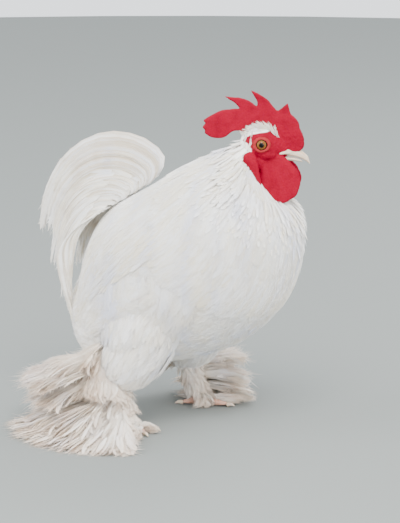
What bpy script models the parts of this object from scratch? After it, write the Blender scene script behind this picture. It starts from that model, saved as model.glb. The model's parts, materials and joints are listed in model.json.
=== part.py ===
"""A feather-footed bantam cock, standing, life size.

Metres, +Z up. The bird faces +X, its right side is towards -Y, and its toes stand on Z = 0.
The form of the plumage is one loft of sections, each held by a point on the back line and a
point on the breast line. Neck hackles and saddle feathers lie on that form by station and angle.
Wing, tail, hock and foot feathers follow free paths.
"""

import math
import random

import bmesh
import bpy
import numpy as np
from mathutils import Matrix, Vector
from mathutils.bvhtree import BVHTree

MM = 0.001
GAP = 0.3 * MM
WELD = 0.0015 * MM
SIDES = {"right": -1.0, "left": 1.0}

# Plumage form, from the nape to the rump, in millimetres:
# back X, back Z, breast X, breast Z, half width, fullness low down
BODY_SECTIONS = np.array(
    [
        (53.0, 255.5, 72.0, 220.0, 15.5, 0.00),
        (39.5, 246.0, 84.0, 205.0, 26.0, 0.00),
        (21.0, 235.5, 95.0, 192.0, 40.0, 0.05),
        (1.0, 225.5, 100.5, 173.0, 54.0, 0.08),
        (-16.0, 215.0, 98.5, 148.0, 63.0, 0.08),
        (-33.0, 204.0, 88.0, 115.0, 67.0, 0.06),
        (-50.0, 194.0, 67.0, 88.0, 69.0, 0.04),
        (-66.0, 184.0, 38.0, 67.0, 67.0, 0.02),
        (-80.0, 168.0, 4.0, 55.0, 62.0, 0.02),
        (-90.0, 146.0, -34.0, 48.0, 55.0, 0.05),
        (-95.0, 120.0, -68.0, 45.0, 46.0, 0.08),
    ]
)
RUMP_POLE = Vector((-98.0, 0.0, 76.0)) * MM
LAST_STATION = len(BODY_SECTIONS) - 1
NECK_END_STATION = 3.0
NECK_COAT = 6.0 * MM
CAPE_DEPTH = 6.0 * MM
# Stations where the hackles end: at the sides, and how much sooner over the back and the breast
CAPE_SIDE_STATION = 6.3
CAPE_BACK_SHORTER = 2.4
CAPE_BREAST_SHORTER = 1.1

# Neck hackles, from the lowest row to the one behind the head:
# root station, how far the tips stop short of the cape's edge, how many, depth under the form
HACKLE_ROWS = (
    (2.10, 0.0, 19, 3.6 * MM),
    (1.35, 1.4, 15, 1.6 * MM),
    (0.75, 2.7, 11, -0.5 * MM),
    (0.25, 3.8, 7, -2.4 * MM),
)
HACKLE_SINK_RUN = 0.75
HACKLE_THICKNESS = 1.1 * MM

# Saddle feathers on each side: root and tip stations, first and last angle at the roots in degrees,
# how many, how far they fall outwards along their length in degrees, lift over the form
SADDLE_ROWS = (
    (7.2, 9.7, 38.0, 62.0, 3, 6.0, 1.2 * MM),
    (6.0, 8.7, 34.0, 56.0, 3, 7.0, 2.9 * MM),
    (4.9, 7.4, 24.0, 52.0, 3, 6.0, 4.6 * MM),
)
SADDLE_HALF_ANGLE = math.radians(5.5)
SADDLE_THICKNESS = 1.2 * MM

# Head, in its own frame: X to the beak, Y left, Z up, origin between the eyes
HEAD_PLACE = Vector((63.6, 3.0, 245.6)) * MM
HEAD_TURN = math.radians(17.0)
EYE_RADIUS = 6.2 * MM
EYE_PLACE = Vector((0.0, 8.6, 0.0)) * MM
LID_RING_RADIUS = 4.9 * MM
LID_RING_OUT = 12.2 * MM
LID_THICKNESS = 1.1 * MM
# Skull and face: X, top Z, bottom Z, half width
HEAD_SECTIONS = np.array(
    [
        (-17.0, 5.0, -9.0, 6.5),
        (-14.0, 9.5, -13.5, 10.0),
        (-8.0, 13.5, -16.0, 12.3),
        (0.0, 15.0, -16.0, 12.6),
        (7.0, 13.0, -15.2, 11.4),
        (13.0, 8.5, -14.0, 9.0),
        (18.0, 3.0, -12.6, 6.8),
        (21.0, -1.0, -11.6, 5.2),
    ]
)

# Tail: the middle lines of the top sickle and of the lowest covert, X and Z from root to tip
TAIL_TOP = np.array(
    [(-52.0, 198), (-34, 209), (-31, 225), (-56, 237), (-88, 234), (-114, 214), (-129, 188), (-137, 160)]
)
TAIL_LOW = np.array(
    [(-72.0, 182), (-81, 175), (-89, 166), (-94, 154), (-97, 138), (-99, 122), (-100, 108), (-100, 98)]
)
TAIL_COUNT = 9
TAIL_WIDTHS = (21.0, 17.0)
TAIL_THICKNESS = 1.3 * MM
TAIL_VANE_STEPS = 6
# Distance from the middle plane of the first layer, and between layers, at the roots and at the tips
TAIL_MIDDLE = (1.2 * MM, 3.0 * MM)
TAIL_LAYERS = (1.9 * MM, 3.1 * MM)
TAIL_CORE_PLACE = Vector((-60.0, 0.0, 190.0)) * MM
TAIL_CORE_SIZE = Vector((35.0, 18.0, 14.0)) * MM
TAIL_CORE_SLOPE = math.radians(37.0)

# Comb outline in the head's X-Z plane, in millimetres, run from the beak back over the points.
# The outline is eased between these places and has a corner at each one marked 1.
COMB_OUTLINE = (
    (15.0, -2.0, 1),
    (22.0, -5.4, 0),
    (29.6, -6.2, 0),
    (34.2, -2.6, 0),
    (33.6, 5.4, 0),
    (30.6, 12.0, 0),
    (29.2, 18.0, 0),
    (23.0, 23.6, 1),
    (20.9, 31.6, 1),
    (17.0, 28.4, 0),
    (12.8, 26.2, 0),
    (8.4, 29.6, 0),
    (2.8, 36.4, 0),
    (-6.4, 41.6, 1),
    (-3.2, 35.8, 0),
    (-2.6, 29.4, 1),
    (-6.2, 30.2, 0),
    (-13.6, 35.6, 0),
    (-27.2, 37.6, 1),
    (-21.0, 33.6, 0),
    (-16.4, 27.4, 1),
    (-30.4, 26.6, 0),
    (-40.8, 22.6, 0),
    (-47.8, 18.2, 1),
    (-45.6, 16.8, 1),
    (-48.8, 12.8, 1),
    (-46.6, 10.6, 1),
    (-47.2, 8.4, 1),
    (-41.4, 5.2, 0),
    (-32.4, 5.4, 0),
    (-24.6, 10.8, 0),
    (-16.0, 10.8, 0),
    (-10.4, 7.2, 1),
    (10.0, 3.2, 1),
)
COMB_STEPS = 2
COMB_HALF_THICKNESS = 1.4 * MM
COMB_EDGE_ROUND = 1.1 * MM

# Halves of the beak: rows of X, Z, half height, half width; the tip; the level of the mouth's line
BEAK_ROWS = {
    "upper": (
        (
            (12.0, -7.4, 5.4, 5.0),
            (20.0, -7.4, 4.9, 4.2),
            (27.0, -8.4, 4.1, 3.2),
            (33.0, -10.6, 3.2, 2.3),
            (38.0, -13.8, 2.1, 1.3),
        ),
        (40.6, 0.0, -18.0),
        -0.55,
    ),
    "lower": (
        (
            (12.0, -13.0, 2.4, 4.2),
            (20.0, -12.9, 2.2, 3.5),
            (27.0, -13.6, 1.8, 2.5),
            (32.0, -14.8, 1.3, 1.6),
        ),
        (34.6, 0.0, -16.2),
        0.3,
    ),
}
NOSTRILS = tuple((24.0, 3.7, -5.6, sign) for sign in SIDES.values())
MOUTH_LINE = ((9.5, 11.6, -11.0), (14.0, 10.2, -11.4), (21.0, 6.6, -11.6))
MOUTH_WIDTH = 0.6 * MM
EAR_PLACE = Vector((-11.0, 12.4, -2.2)) * MM
EAR_SIZE = Vector((3.6, 2.0, 3.6)) * MM
EAR_LENGTH = 9.0 * MM
EAR_TURNS = (156.0, 184.0)
# Wattle and earlobe: rows of X, Z, half length, share of the thickness
WATTLE_ROWS = (
    (14.0, -10.0, 4.0, 0.8),
    (14.0, -15.0, 10.0, 1.0),
    (14.6, -22.0, 16.0, 1.0),
    (15.4, -30.0, 19.0, 0.95),
    (15.6, -38.0, 17.8, 0.85),
    (15.4, -45.0, 13.4, 0.75),
    (15.0, -49.5, 7.6, 0.6),
)
WATTLE_THICKNESS = 2.6 * MM
EARLOBE_ROWS = (
    (-9.6, -7.0, 4.0, 0.8),
    (-10.0, -12.0, 6.2, 1.0),
    (-9.6, -18.0, 7.2, 1.0),
    (-8.2, -25.0, 7.2, 0.9),
    (-6.0, -31.0, 6.0, 0.8),
    (-4.0, -35.0, 3.8, 0.6),
)
EARLOBE_THICKNESS = 2.0 * MM

LEG_SPREAD = 46.0 * MM
# The two legs are alike, set back or forward by the stride
STRIDE = {"right": -15.0 * MM, "left": 17.0 * MM}
HOCK = Vector((-48.0, 0.0, 50.0)) * MM
ANKLE = Vector((-26.0, 0.0, 11.0)) * MM
# Thigh: X, share of the spread, Z, radius and share of the stride, from the body to the hock
THIGH_LINE = (
    (-18.0, 0.86, 90.0, 27.0, 0.3),
    (-23.0, 0.92, 70.0, 27.0, 0.5),
    (-29.0, 1.00, 55.0, 24.0, 0.8),
    (-38.0, 1.00, 43.0, 15.0, 1.0),
    (-43.0, 1.00, 37.0, 8.4, 1.0),
)
THIGH_FULLNESS = {"right": 1.0, "left": 0.9}
SHANK_RADII = (8.3, 9.6, 8.8, 6.0)
TOES = {"inner": (-26.0, 24.0), "middle": (8.0, 31.0), "outer": (42.0, 26.0), "hind": (170.0, 15.0)}
TOE_TURN = {"right": 36.0, "left": 28.0}
BOOT_THICKNESS = 1.3 * MM
BOOT_ROOT = 0.3
BOOT_STEP = 1.8 * MM
BOOT_FLOOR = 2.0 * MM
SHANK_FLOOR = 8.0 * MM
# Fans of leg feathers: how many, spread of headings, length, drop at root and tip, width, roll
HOCK_FANS = {
    "right": (
        (8.0, (2, (142, 168), 46.0, (10, 52), 22.0, 50)),
        (-2.0, (4, (138, 178), 76.0, (10, 22), 18.0, 40)),
        (-9.0, (3, (132, 166), 62.0, (18, 30), 20.0, 40)),
    ),
    "left": (
        (-2.0, (3, (140, 172), 44.0, (10, 30), 17.0, 40)),
        (-8.0, (3, (132, 164), 44.0, (18, 36), 17.0, 40)),
    ),
}
SHANK_FANS = {
    "right": (
        (0.12, (3, (16, 96), 31.0, (38, 66), 18.0, 20)),
        (0.42, (4, (112, 164), 78.0, (20, 22), 18.0, 35)),
        (0.74, (5, (78, 160), 102.0, (15, 5), 21.0, 12)),
    ),
    "left": (
        (0.14, (4, (26, 104), 56.0, (-16, 0), 21.0, 60)),
        (0.42, (3, (30, 96), 52.0, (-4, 10), 23.0, 55)),
        (0.74, (4, (30, 112), 50.0, (4, 10), 18.0, 35)),
    ),
}
FOOT_FANS = {
    "middle": (2, (22, 42), 25.0, (4, 0), 15.0, 4),
    "outer": (3, (14, 70), 30.0, (4, 0), 18.0, 4),
}
CLAW_LENGTH = 8.0 * MM

SEED = 7


# Small geometry

def add_object(name, data):
    """A new object in the bird's collection, standing on the bird's own frame."""
    frame = bpy.data.objects.get("cock_frame")
    obj = bpy.data.objects.new(name, data)
    bpy.data.collections["bantam_cock"].objects.link(obj)
    obj.parent = frame
    return obj


def eased(table, station):
    """Catmull-Rom value of the rows of table at a station between 0 and its last row."""
    low = int(min(max(station, 0.0), len(table) - 1.001))
    t = station - low
    a, b, c, d = (table[min(max(low + k, 0), len(table) - 1)] for k in (-1, 0, 1, 2))
    bend, turn = 2 * a - 5 * b + 4 * c - d, 3 * b - a - 3 * c + d
    return 0.5 * (2 * b + (c - a) * t + bend * t * t + turn * t**3)


def smooth_step(value, low, high):
    t = min(max((value - low) / (high - low), 0.0), 1.0)
    return t * t * (3 - 2 * t)


def loft(name, rings, thin=False):
    """A closed body through rings of points. A ring of one point is a tip, and an end ring gets a
    cap. A thin body's lower half is split along the same diagonals as its upper half."""
    mesh = bmesh.new()
    loops = [[mesh.verts.new(point) for point in ring] for ring in rings]
    for low, high in zip(loops, loops[1:]):
        count = max(len(low), len(high))
        for k in range(count):
            a, b = low[k % len(low)], low[(k + 1) % len(low)]
            d, c = high[k % len(high)], high[(k + 1) % len(high)]
            if len(low) == 1:
                mesh.faces.new((a, c, d))
            elif len(high) == 1:
                mesh.faces.new((a, b, d))
            elif thin and k >= count // 2:
                mesh.faces.new((a, b, d))
                mesh.faces.new((b, c, d))
            else:
                mesh.faces.new((a, b, c))
                mesh.faces.new((a, c, d))
    for ring in (loops[0], loops[-1]):
        if len(ring) > 1:
            centre = mesh.verts.new(sum((vert.co for vert in ring), Vector()) / len(ring))
            for k, vert in enumerate(ring):
                mesh.faces.new((vert, ring[(k + 1) % len(ring)], centre))
    bmesh.ops.recalc_face_normals(mesh, faces=mesh.faces)
    data = bpy.data.meshes.new(name)
    mesh.to_mesh(data)
    mesh.free()
    return add_object(name, data)


def ellipse_ring(centre, up, side, count):
    """A ring about centre with its half axes given as vectors."""
    angles = (2 * math.pi * k / count for k in range(count))
    return [centre + up * math.cos(angle) + side * math.sin(angle) for angle in angles]


def tube(name, points, radii, count=10):
    """A round body along points, with a radius at each; a radius of 0 is a tip."""
    curve = bpy.data.curves.new(name, "CURVE")
    curve.dimensions = "3D"
    curve.bevel_depth = max(radii)
    curve.bevel_resolution = count // 2 - 2
    curve.use_fill_caps = True
    spline = curve.splines.new("POLY")
    spline.points.add(len(points) - 1)
    for corner, point, radius in zip(spline.points, points, radii):
        corner.co = (*point, 1)
        corner.radius = radius / max(radii)
    return mesh_of_curve(name, curve)


def mesh_of_curve(name, curve):
    """A mesh object from a curve, with its caps welded to its sides."""
    guide = add_object(name + "_guide", curve)
    data = evaluated_mesh(guide)
    bpy.data.objects.remove(guide)
    mesh = bmesh.new()
    mesh.from_mesh(data)
    bmesh.ops.remove_doubles(mesh, verts=mesh.verts, dist=0.01 * MM)
    bmesh.ops.dissolve_degenerate(mesh, edges=mesh.edges, dist=0.005 * MM)
    bmesh.ops.triangulate(mesh, faces=mesh.faces)
    bmesh.ops.recalc_face_normals(mesh, faces=mesh.faces)
    mesh.to_mesh(data)
    mesh.free()
    return add_object(name, data)


def evaluated_mesh(obj):
    graph = bpy.context.evaluated_depsgraph_get()
    return bpy.data.meshes.new_from_object(obj.evaluated_get(graph), depsgraph=graph)


def drop(obj):
    data = obj.data
    bpy.data.objects.remove(obj)
    if data.users == 0:
        bpy.data.meshes.remove(data)


def keep_largest(obj):
    """Welds the seams of a Boolean and leaves only the closed surface of the largest volume."""
    mesh = bmesh.new()
    mesh.from_mesh(obj.data)
    bmesh.ops.remove_doubles(mesh, verts=mesh.verts, dist=WELD)
    bmesh.ops.triangulate(mesh, faces=mesh.faces)
    left, shells = set(mesh.faces), []
    while left:
        shell, waiting = [], [left.pop()]
        while waiting:
            face = waiting.pop()
            shell.append(face)
            joined = (edge.link_faces for edge in face.edges if len(edge.link_faces) == 2)
            for other in (link for pair in joined for link in pair):
                if other in left:
                    left.discard(other)
                    waiting.append(other)
        corners = ([vert.co for vert in face.verts] for face in shell)
        shells.append((sum(a.dot(b.cross(c)) for a, b, c in corners), len(shells), shell))
    shells.sort(key=lambda entry: entry[:2])
    for _, _, shell in shells[:-1]:
        bmesh.ops.delete(mesh, geom=shell, context="FACES")
    bmesh.ops.delete(mesh, geom=[vert for vert in mesh.verts if not vert.link_faces], context="VERTS")
    mesh.to_mesh(obj.data)
    mesh.free()


def boolean(obj, operation, others):
    """Applies one Boolean of obj with all the others, which are then removed."""
    group = bpy.data.collections.new(obj.name + "_pieces")
    bpy.context.scene.collection.children.link(group)
    home = bpy.data.collections["bantam_cock"]
    for other in others:
        home.objects.unlink(other)
        group.objects.link(other)
    modifier = obj.modifiers.new("join", "BOOLEAN")
    modifier.operation = operation
    modifier.operand_type = "COLLECTION"
    modifier.collection = group
    modifier.solver = "MANIFOLD"
    result = evaluated_mesh(obj)
    obj.modifiers.clear()
    old, obj.data = obj.data, result
    bpy.data.meshes.remove(old)
    for other in list(group.objects):
        drop(other)
    bpy.data.collections.remove(group)
    keep_largest(obj)
    return obj


def fuse(obj, pieces):
    return boolean(obj, "UNION", pieces)


def carve(obj, cutters):
    return boolean(obj, "DIFFERENCE", cutters)


def tree_of(obj):
    return BVHTree.FromPolygons(
        [obj.matrix_world @ vert.co for vert in obj.data.vertices],
        [tuple(face.vertices) for face in obj.data.polygons],
    )


# Feathers

def feather_width(t, root=0.45, widest=0.55):
    """Width of a vane as a share of its widest, from its root at t = 0 to its tip at t = 1."""
    if t < widest:
        return root + (1 - root) * math.sin(0.5 * math.pi * t / widest)
    return math.sqrt(max(0.0, 1 - ((t - widest) / (1 - widest)) ** 2.2))


def free_vane(name, points, normals, width, thickness, root=0.45, widest=0.55, droop=0.22):
    """A vane along points, arched a little across, with its outer face towards normals."""
    last = len(points) - 1
    rings = []
    for k, (point, normal) in enumerate(zip(points, normals)):
        if k == last:
            rings.append([point])
            continue
        ahead = (points[k + 1] - points[max(k - 1, 0)]).normalized()
        side = normal.cross(ahead).normalized() * (0.5 * width * feather_width(k / last, root, widest))
        up = ahead.cross(side).normalized() * (0.5 * thickness)
        sag = up * (droop * side.length / (0.5 * thickness))
        rings.append([point + side - sag, point + up, point - side - sag, point - up])
    return loft(name, rings, thin=True)


def bent_path(start, heading, bend_to, length, steps, bend_power=1.0):
    """A path of that length that leaves start along heading and ends along bend_to."""
    points = [start.copy()]
    for k in range(steps):
        share = ((k + 0.5) / steps) ** bend_power
        direction = heading.lerp(bend_to, share).normalized()
        points.append(points[-1] + direction * (length / steps))
    return points


# The plumage form

def body_section(station):
    """Centre, half axis from back to breast, half width and low fullness at a station."""
    row = eased(BODY_SECTIONS, min(station, LAST_STATION))
    back = Vector((row[0], 0, row[1])) * MM
    breast = Vector((row[2], 0, row[3])) * MM
    centre, down, width = (back + breast) / 2, (breast - back) / 2, row[4] * MM
    past = station - LAST_STATION
    if past > 0:
        shrink = math.sqrt(max(0.0, 1 - past * past))
        centre = centre.lerp(RUMP_POLE, past)
        down, width = down * shrink, width * shrink
    return centre, down, width, row[5]


def on_form(station, angle):
    """The point of the form at a station, and an angle from the back towards the left side."""
    centre, down, width, low = body_section(station)
    level = -math.cos(angle)
    return centre + down * level + Vector((0, width * math.sin(angle) * (1 + low * level), 0))


def form_normal(station, angle):
    step = 0.01
    base = min(station, LAST_STATION + 0.97)
    along = on_form(base + step, angle) - on_form(base - step, angle)
    around = on_form(base, angle + step) - on_form(base, angle - step)
    return around.cross(along).normalized()


def under_form(station, angle, depth):
    return on_form(station, angle) - form_normal(station, angle) * depth


def cape_edge(angle):
    """The station where the neck hackles end, at an angle from the back."""
    level = math.cos(angle)
    return CAPE_SIDE_STATION - (CAPE_BACK_SHORTER if level > 0 else CAPE_BREAST_SHORTER) * level**2


def torso_depth(station, angle):
    """How far the torso lies under the form: sunk where the neck hackles cover it."""
    edge = cape_edge(angle)
    return CAPE_DEPTH * (1 - smooth_step(station, edge + 0.1, edge + 0.75))


def form_ring(station, depth_at, count, grow=0.0):
    angles = [2 * math.pi * k / count for k in range(count)]
    return [under_form(station, angle, depth_at(station, angle) - grow) for angle in angles]


def torso_form(name, grow=0.0, count=24):
    """The torso's smooth body, or a copy grown by a gap for cutting its neighbours."""
    start = form_ring(NECK_END_STATION, torso_depth, count, grow)
    back, breast = start[0], start[count // 2]
    ahead = Vector((0, 1, 0)).cross(breast - back).normalized()
    ahead = ahead if ahead.x > 0 else -ahead
    rings = [[point + ahead * (grow - GAP) for point in start]]
    stations = [3.35, 4.0, 4.6, 5.2, 5.8, 6.4, 7.0, 7.7, 8.4, 9.1, 9.8, 10.3, 10.65, 10.9]
    rings += [form_ring(station, torso_depth, count, grow) for station in stations]
    rings.append([RUMP_POLE + Vector((-grow, 0, 0))])
    return loft(name, rings)


# Nodes

def saddle_lock(name, root, tip, start, end, lift):
    """A saddle feather, from its root station and angle to its tip station and angle."""
    rings = []
    for share in (0.0, 0.3, 0.6, 0.85):
        station = root + (tip - root) * share
        angle = start + (end - start) * share
        out = lift - (lift + 2.5 * MM) * max(0.0, 1 - share / 0.25)
        wide = SADDLE_HALF_ANGLE * feather_width(share, root=0.7, widest=0.5)
        rings.append(
            [
                under_form(station, angle + wide, -out),
                under_form(station, angle, -out - SADDLE_THICKNESS / 2),
                under_form(station, angle - wide, -out),
                under_form(station, angle, -out + SADDLE_THICKNESS / 2),
            ]
        )
    rings.append([under_form(tip, end, -lift)])
    return loft(name, rings, thin=True)


def build_torso():
    torso = torso_form("torso")
    draw = random.Random(SEED + 6)
    pieces = []
    for side, sign in SIDES.items():
        for row, (root, tip, first, last, count, fall, lift) in enumerate(SADDLE_ROWS):
            for k in range(count):
                start = math.radians(first + (last - first) * (k + draw.uniform(-0.1, 0.1)) / (count - 1))
                end = start + math.radians(fall)
                end_station = tip + draw.uniform(-0.15, 0.15)
                name = f"saddle_{side}_{row}_{k}"
                pieces.append(saddle_lock(name, root, end_station, sign * start, sign * end, lift))
    return fuse(torso, pieces)


def hackle(name, root, tip, angle, half_angle, depth):
    """One neck hackle, lying on the form from its root station to its tip station."""
    rings = []
    for share in (0.0, 0.25, 0.55, 0.85):
        station = root + (tip - root) * share
        rise = max(0.0, 1 - (station - root) / HACKLE_SINK_RUN)
        here = depth + (NECK_COAT + 2.2 * MM - depth) * rise**1.3
        wide = half_angle * feather_width(share, root=0.7, widest=0.5)
        rings.append(
            [
                under_form(station, angle + wide, here),
                under_form(station, angle, here - HACKLE_THICKNESS / 2),
                under_form(station, angle - wide, here),
                under_form(station, angle, here + HACKLE_THICKNESS / 2),
            ]
        )
    rings.append([under_form(tip, angle, depth)])
    return loft(name, rings, thin=True)


def build_neck(cutters):
    stations = (0.25, 0.7, 1.3, 2.0, NECK_END_STATION)
    core = loft("neck", [form_ring(station, lambda *_: NECK_COAT, 16) for station in stations])
    draw = random.Random(SEED)
    pieces = []
    for row, (root, short, count, depth) in enumerate(HACKLE_ROWS):
        for k in range(count):
            angle = 2 * math.pi * (k + 0.5 * (row % 2) + draw.uniform(-0.03, 0.03)) / count
            tip = cape_edge(angle) - short + draw.uniform(-0.16, 0.16)
            pieces.append(hackle(f"hackle_{row}_{k}", root, tip, angle, 0.92 * math.pi / count, depth))
    fuse(core, pieces)
    return carve(core, cutters)


# Head

def place_on_head(obj):
    obj.parent = bpy.data.objects["head_frame"]
    return obj


def head_form(name, grow=0.0, count=14):
    rings = []
    for station in np.linspace(0, len(HEAD_SECTIONS) - 1, 9):
        x, top, bottom, half = eased(HEAD_SECTIONS, station) * MM
        centre = Vector((x, 0, (top + bottom) / 2))
        up = Vector((0, 0, (top - bottom) / 2 + grow))
        rings.append(ellipse_ring(centre, up, Vector((0, half + grow, 0)), count))
    first, last = rings[0], rings[-1]
    nape = sum(first, Vector()) / count + Vector((-2.6 * MM - grow, 0, 0))
    front = sum(last, Vector()) / count + Vector((2.0 * MM + grow, 0, 0))
    return loft(name, [[nape]] + rings + [[front]])


def sphere(name, centre, radii, segments=20, rings=12):
    mesh = bmesh.new()
    bmesh.ops.create_uvsphere(mesh, u_segments=segments, v_segments=rings, radius=1.0)
    bmesh.ops.scale(mesh, verts=mesh.verts, vec=radii)
    bmesh.ops.translate(mesh, verts=mesh.verts, vec=centre)
    data = bpy.data.meshes.new(name)
    mesh.to_mesh(data)
    mesh.free()
    return add_object(name, data)


def eye_centre(sign):
    return Vector((EYE_PLACE.x, sign * EYE_PLACE.y, EYE_PLACE.z))


def build_eye(side, sign):
    eye = sphere(f"eye_{side}", eye_centre(sign), (EYE_RADIUS,) * 3, 14, 8)
    return place_on_head(eye)


def cheek_form(name, sign, grow=0.0):
    radii = Vector((9.0, 5.6, 5.4)) * MM + Vector((grow,) * 3)
    return sphere(name, Vector((5.0, sign * 6.4, -9.0)) * MM, radii, 8, 6)


def head_cutters(name):
    """The head grown by a gap, for cutting what grows from it."""
    cheeks = [cheek_form(f"{name}_{side}", sign, GAP) for side, sign in SIDES.items()]
    return [place_on_head(form) for form in [head_form(name, GAP)] + cheeks]


def lids(name, sign):
    """The lids of one eye, an oval hoop round it."""
    bpy.ops.mesh.primitive_torus_add(
        major_radius=LID_RING_RADIUS, minor_radius=LID_THICKNESS, major_segments=12, minor_segments=5
    )
    made = bpy.context.object
    data = made.data
    bpy.data.objects.remove(made)
    data.transform(
        Matrix.Translation((0, sign * LID_RING_OUT, 0))
        @ Matrix.Diagonal((1.12, 1.0, 0.92, 1.0))
        @ Matrix.Rotation(math.pi / 2, 4, "X")
    )
    return add_object(name, data)


def build_head():
    head = head_form("head")
    pieces, sockets = [], []
    for side, sign in SIDES.items():
        pieces.append(lids(f"lids_{side}", sign))
        pieces.append(cheek_form(f"cheek_{side}", sign))
        grown = EYE_RADIUS + GAP
        sockets.append(sphere(f"socket_{side}", eye_centre(sign), (grown,) * 3, 14, 8))
        for start, end in zip(MOUTH_LINE, MOUTH_LINE[1:]):
            line = [Vector((x, sign * y, z)) * MM for x, y, z in (start, end)]
            sockets.append(tube(f"mouth_{side}", line, [MOUTH_WIDTH, MOUTH_WIDTH * 0.9], 5))
    fuse(head, pieces)
    carve(head, sockets)
    return place_on_head(head)


def ear_tuft_parts(name, sign, grow=0.0):
    """The tuft of short feathers over the ear: a core and three vanes, or copies grown by a gap."""
    place = Vector((EAR_PLACE.x, sign * EAR_PLACE.y, EAR_PLACE.z))
    parts = [sphere(name, place, EAR_SIZE + Vector((grow,) * 3), 8, 5)]
    for k, turn in enumerate(EAR_TURNS):
        angle = math.radians(turn)
        heading = Vector((math.cos(angle), 0.12 * sign, -0.9 * math.sin(angle))).normalized()
        out = Vector((0, sign * 0.6 * MM, 0))
        reaches = [EAR_LENGTH * share for share in (0, 0.4, 0.75)] + [EAR_LENGTH + grow]
        points = [place + out + heading * reach for reach in reaches]
        size = (4.2 * MM + 2 * grow, 0.9 * MM + 2 * grow)
        parts.append(free_vane(f"{name}_vane_{k}", points, [Vector((0, sign, 0))] * 4, *size, 0.7, 0.5))
    return [place_on_head(part) for part in parts]


def build_ear_tuft(side, sign, cutters):
    parts = ear_tuft_parts(f"ear_tuft_{side}", sign)
    fuse(parts[0], parts[1:])
    return carve(parts[0], cutters)


def build_nostrils():
    radii = Vector((2.1, 0.9, 0.8)) * MM
    places = [Vector((x, sign * y, z)) * MM for x, y, z, sign in NOSTRILS]
    return [place_on_head(sphere("nostril", place, radii, 8, 5)) for place in places]


def comb_outline():
    """The comb's outline, eased between its places and broken at its corners."""
    places = [Vector(place[:2]) for place in COMB_OUTLINE]
    corner = [place[2] for place in COMB_OUTLINE]
    count = len(places)
    outline = []
    for k, (start, end) in enumerate(zip(places, places[1:] + places[:1])):
        after = (k + 1) % count
        before = start if corner[k] else places[k - 1]
        beyond = end if corner[after] else places[(k + 2) % count]
        table = np.array([before, start, end, beyond])
        outline.extend(eased(table, 1 + step / COMB_STEPS) for step in range(COMB_STEPS))
    return outline


def build_comb(cutters):
    curve = bpy.data.curves.new("comb_outline", "CURVE")
    curve.dimensions = "2D"
    curve.fill_mode = "BOTH"
    curve.extrude = COMB_HALF_THICKNESS
    curve.bevel_depth = COMB_EDGE_ROUND
    curve.bevel_resolution = 1
    outline = comb_outline()
    spline = curve.splines.new("POLY")
    spline.points.add(len(outline) - 1)
    for point, (x, z) in zip(spline.points, outline):
        point.co = (x * MM, z * MM, 0, 1)
    spline.use_cyclic_u = True
    comb = mesh_of_curve("comb", curve)
    comb.data.transform(Matrix.Rotation(math.pi / 2, 4, "X"))
    for vert in comb.data.vertices:
        vert.co.y *= 1.55 - 0.85 * smooth_step(vert.co.z / MM, 6, 34)
    place_on_head(comb)
    return carve(comb, cutters)


def lobe(name, rows, thickness, grow, count=12):
    """A hanging lobe of soft skin from rows of centre X, Z, half length and thickness share."""
    rings = []
    for x, z, half, thick in rows:
        long, across = Vector((half * MM + grow, 0, 0)), Vector((0, thick * thickness + grow, 0))
        rings.append(ellipse_ring(Vector((x, 0, z)) * MM, long, across, count))
    first, last = rows[0], rows[-1]
    rings.insert(0, [Vector((first[0], 0, first[1] + 0.8)) * MM + Vector((0, 0, grow))])
    rings.append([Vector((last[0], 0, last[1] - 1.4)) * MM - Vector((0, 0, grow))])
    return loft(name, rings)


def wattle_form(name, sign, grow=0.0):
    form = lobe(name, WATTLE_ROWS, WATTLE_THICKNESS, grow)
    lean = Matrix.Rotation(sign * math.radians(9.0), 4, "X")
    form.data.transform(Matrix.Translation(Vector((0, sign * 5.2, 0)) * MM) @ lean)
    return place_on_head(form)


def earlobe_form(name, sign, grow=0.0):
    form = lobe(name, EARLOBE_ROWS, EARLOBE_THICKNESS, grow)
    lean = Matrix.Rotation(sign * math.radians(7.0), 4, "X")
    form.data.transform(Matrix.Translation(Vector((0, sign * 11.8, 0)) * MM) @ lean)
    return place_on_head(form)


def beak_cutters(name):
    """The beak's two halves grown by a gap, for cutting the comb and the wattles."""
    return [beak_half(name + part, part, GAP) for part in ("upper", "lower")]


def beak_half(name, part, grow=0.0):
    rows, tip, flat = BEAK_ROWS[part]
    rings = []
    for x, z, up, half in rows:
        centre = Vector((x, 0, z)) * MM
        ring = ellipse_ring(centre, Vector((0, 0, up * MM + grow)), Vector((0, half * MM + grow, 0)), 10)
        if part == "upper":
            edge = centre.z + flat * up * MM - grow
            ring = [Vector((p.x, p.y, max(p.z, edge))) for p in ring]
        else:
            edge = centre.z + flat * up * MM + grow
            ring = [Vector((p.x, p.y, min(p.z, edge))) for p in ring]
        rings.append(ring)
    rings.append([(Vector(tip) * MM) + Vector((grow, 0, -grow))])
    return place_on_head(loft(name, rings))


# Tail

def tail_vane(name, blend, sign, rank, draw):
    """A tail feather whose arc lies between the top sickle's and the lowest covert's. Each lower
    feather lies one layer further out, so that neighbours overlap without crossing."""
    arc = TAIL_TOP * (1 - blend) + TAIL_LOW * blend
    near, far = (TAIL_MIDDLE[k] + TAIL_LAYERS[k] * rank for k in (0, 1))
    slip = draw.uniform(-4.0, 4.0)
    points = []
    for k in range(TAIL_VANE_STEPS + 1):
        t = k / TAIL_VANE_STEPS
        x, z = eased(arc, t * (len(arc) - 1)) * MM
        points.append(Vector((x, sign * (near + (far - near) * t**0.8), z)))
    points[-1] += (points[-1] - points[-2]).normalized() * slip * MM
    normals = [Vector((0, sign, 0))] * len(points)
    width = (TAIL_WIDTHS[0] + (TAIL_WIDTHS[1] - TAIL_WIDTHS[0]) * blend) * MM
    return free_vane(name, points, normals, width, TAIL_THICKNESS, 0.5, 0.5, 0.05)


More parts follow.
